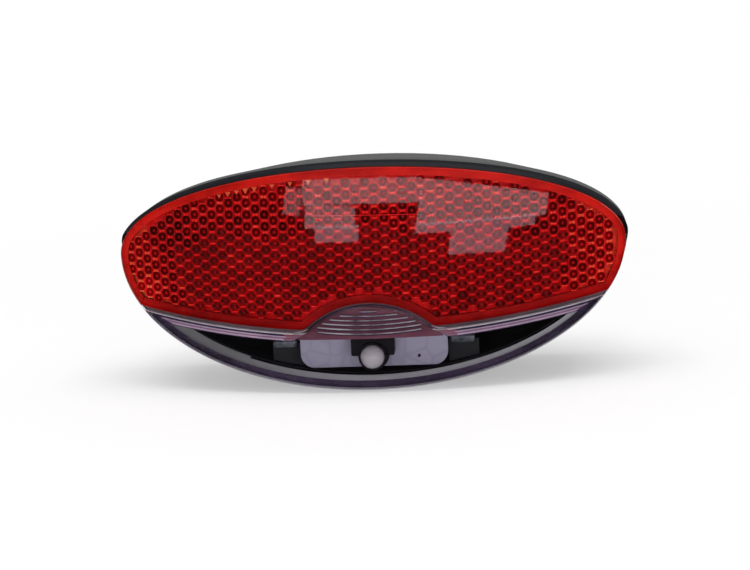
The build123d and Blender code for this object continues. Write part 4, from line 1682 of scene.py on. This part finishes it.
    def add_rib(self, bm: Mesh, level: float, half: float) -> list[bmesh.types.BMFace]:
        """Add one rib.

        Args:
            bm: Mesh to add to.
            level: Height of the rib's middle.
            half: Half of its width across.

        Returns:
            The new faces.
        """
        front = FORM.radius - self.skin - self.rib_gap
        before = set(bm.faces)

        def side(radius: float, width: float) -> Place:
            """Point function of the rib's front or back on a ball, at a width."""
            return ball_area(lambda u: (2 * u - 1) * half,
                             lambda x: self.rib_span(x, level, width), radius)
        depth, width = self.rib_back
        add_patch(bm, 28, 1, side(front, self.rib_width),
                  side(front - self.rib_depth * depth, self.rib_width * width))
        return [face for face in bm.faces if face not in before]


# LED


@dataclass
class Led:
    """Clear 5 mm LED body with its flange."""

    z: float = -17.4 * MM
    base: float = 26.2 * MM
    length: float = 6.9 * MM
    radius: float = 2.5 * MM
    flange_radius: float = 2.9 * MM
    flange_thickness: float = 1.0 * MM
    steps: int = 48
    dome_steps: int = 12

    def build(self) -> None:
        """Build and dress the body."""
        bm = bmesh.new()
        dome_start = self.length - self.radius
        outline = [(0.0, 0.0), (self.flange_radius, 0.0),
                   (self.flange_radius, self.flange_thickness),
                   (self.radius, self.flange_thickness), (self.radius, dome_start)]
        for step in range(1, self.dome_steps + 1):
            angle = math.pi / 2 * step / self.dome_steps
            outline.append((self.radius * math.cos(angle),
                            dome_start + self.radius * math.sin(angle)))
        verts = [bm.verts.new((across, -self.base - along, self.z)) for across, along in outline]
        edges = [bm.edges.new(pair) for pair in zip(verts, verts[1:])]
        bmesh.ops.spin(bm, geom=verts + edges, cent=(0, 0, self.z), axis=(0, 1, 0),
                       angle=2 * math.pi, steps=self.steps, use_merge=True)
        bmesh.ops.remove_doubles(bm, verts=bm.verts[:], dist=MERGE / 2)
        body = finished(bm, "led_dome", [EPOXY])
        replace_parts(body, "led_body")


# Studio


def heading(azimuth: float, elevation: float) -> Vector:
    """Direction away from the light.

    Args:
        azimuth: Turn to the right from straight ahead, in degrees.
        elevation: Tilt above the level, in degrees.

    Returns:
        The direction, of length one.
    """
    turn, tilt = math.radians(azimuth), math.radians(elevation)
    return Vector((math.sin(turn) * math.cos(tilt), -math.cos(turn) * math.cos(tilt),
                   math.sin(tilt)))


@dataclass(frozen=True)
class SoftBox:
    """Rectangular lamp as seen from the light: angles in degrees from straight ahead."""

    name: str
    left: float
    right: float
    low: float
    high: float
    radiance: float
    turn: float = 0.0
    tone: Colour = (1.0, 0.94, 0.98)

    def direction(self) -> Vector:
        """Direction from the light to the middle of the lamp."""
        return heading((self.left + self.right) / 2, (self.low + self.high) / 2)

    def size(self, distance: float) -> Point:
        """Width and height at a distance."""
        return (2 * distance * math.tan(math.radians(self.right - self.left) / 2),
                2 * distance * math.tan(math.radians(self.high - self.low) / 2))


@dataclass
class Studio:
    """Floor, lamps, background and camera."""

    floor_size: float = 6.0
    floor_gap: float = 0.1 * MM
    azimuth: float = 5.04
    elevation: float = 8.99
    roll: float = -2.81
    distance: float = 0.400
    focal_px: float = 1948.1
    frame: tuple[int, int] = (750, 570)
    principal: Point = (364.61, 257.57)
    sensor: float = 36.0
    ambient: float = 0.47
    front_sky: float = 0.04
    sky_from: float = -0.40
    sky_to: float = 0.3
    lamp_distance: float = 1.5
    boxes: Sequence[SoftBox] = (
        SoftBox("box_left", -20.0, -7.0, -3.0, 5.0, 4.9, -4.0),
        SoftBox("box_edge", -25.5, -21.0, 2.5, 9.5, 3.2, -8.0),
        SoftBox("box_middle", -20.5, 10.5, 5.2, 11.8, 4.9),
        SoftBox("box_right", 9.5, 43.0, -4.5, 8.2, 5.0, -12.0),
        SoftBox("box_top", -30.0, 30.0, 60.0, 100.0, 2.6, tone=(1.0, 1.0, 1.0)),
    )

    def build(self, lowest: float) -> None:
        """Build everything that is not part of the light.

        Args:
            lowest: Height of the light's lowest point.
        """
        self.build_floor(lowest)
        self.build_world()
        self.build_lamps()
        self.build_camera()
        bpy.context.scene.view_settings.view_transform = "Standard"

    def build_floor(self, lowest: float) -> None:
        """Pale floor under the light.

        Args:
            lowest: Height of the light's lowest point.
        """
        bm = bmesh.new()
        bmesh.ops.create_grid(bm, x_segments=24, y_segments=24, size=self.floor_size / 2)
        bmesh.ops.translate(bm, vec=(0, 0, lowest - self.floor_gap), verts=bm.verts[:])
        floor = linked(bm, "floor", [GROUND])
        floor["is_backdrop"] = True

    def build_world(self) -> None:
        """White behind the light, and a soft even light from all round."""
        world = bpy.data.worlds.new("studio")
        bpy.context.scene.world = world
        recipe = Recipe(world, "ShaderNodeOutputWorld")
        rays = recipe.add("LightPath").outputs
        direction = recipe.add("TexCoord").outputs["Generated"]
        forward = recipe.add("SeparateXYZ", {0: direction}).outputs["Y"]
        mirrored = recipe.spread(forward, self.front_sky, 1.0, self.sky_from, self.sky_to)
        soft, mirror, white = (
            recipe.shader("Background", {"Color": WHITE, "Strength": strength})
            for strength in (self.ambient, mirrored, 1.0)
        )
        seen = recipe.maths("MAXIMUM", rays["Is Camera Ray"], rays["Is Transmission Ray"])
        around = recipe.mix(rays["Is Glossy Ray"], soft, mirror)
        recipe.close(recipe.mix(seen, around, white))

    def build_lamps(self) -> None:
        """Soft boxes in front of the light, which its lens mirrors, and one above it."""
        for box in self.boxes:
            lamp = bpy.data.lights.new(box.name, "AREA")
            lamp.shape = "RECTANGLE"
            wide, high = box.size(self.lamp_distance)
            lamp.size, lamp.size_y = wide, high
            lamp.color = box.tone
            lamp.energy = box.radiance * math.pi * wide * high
            holder = bpy.data.objects.new(box.name, lamp)
            aim = box.direction()
            holder.location = aim * self.lamp_distance
            facing = (-aim).to_track_quat("-Z", "Y").to_matrix()
            turned = facing @ Matrix.Rotation(math.radians(box.turn), 3, "Z")
            holder.rotation_euler = turned.to_euler()
            bpy.context.scene.collection.objects.link(holder)

    def build_camera(self) -> None:
        """Camera at the photograph's place."""
        away = heading(self.azimuth, self.elevation)
        target = FORM.on_ball(0.0, FORM.tip, FORM.radius)
        data = bpy.data.cameras.new("camera")
        data.sensor_width = self.sensor
        width, height = self.frame
        data.lens = self.focal_px * self.sensor / width
        data.shift_x = (width / 2 - self.principal[0]) / width
        data.shift_y = -(height / 2 - self.principal[1]) / width
        data.clip_start, data.clip_end = 0.01, 20.0
        camera = bpy.data.objects.new("camera", data)
        facing = (-away).to_track_quat("-Z", "Y").to_matrix().to_4x4()
        rolled = facing @ Matrix.Rotation(math.radians(self.roll), 4, "Z")
        camera.matrix_world = Matrix.Translation(target + away * self.distance) @ rolled
        bpy.context.scene.collection.objects.link(camera)
        bpy.context.scene.camera = camera


def dress_nodes(nodes: dict[str, Piece]) -> None:
    """Give each shown CAD node its finish.

    Args:
        nodes: The frame's nodes by name.
    """
    for finish, names in NODES_BY_FINISH.items():
        for name in names:
            materials = nodes[name].data.materials
            if not materials:
                materials.append(finish.material())
            for place in range(len(materials)):
                materials[place] = finish.material()
            log.info("%s: %s", name, finish.name)


def main() -> None:
    """Load the frame, build the looks round it and put the floor under the frame's lowest point."""
    logging.basicConfig(level=logging.INFO, format="%(name)s %(message)s")
    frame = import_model()
    solid_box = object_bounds()
    dress_nodes(frame["nodes"])
    RedLens().build()
    ClearLens().build()
    Led().build()
    Studio().build(solid_box[0].z)


if __name__ == "__main__":
    main()
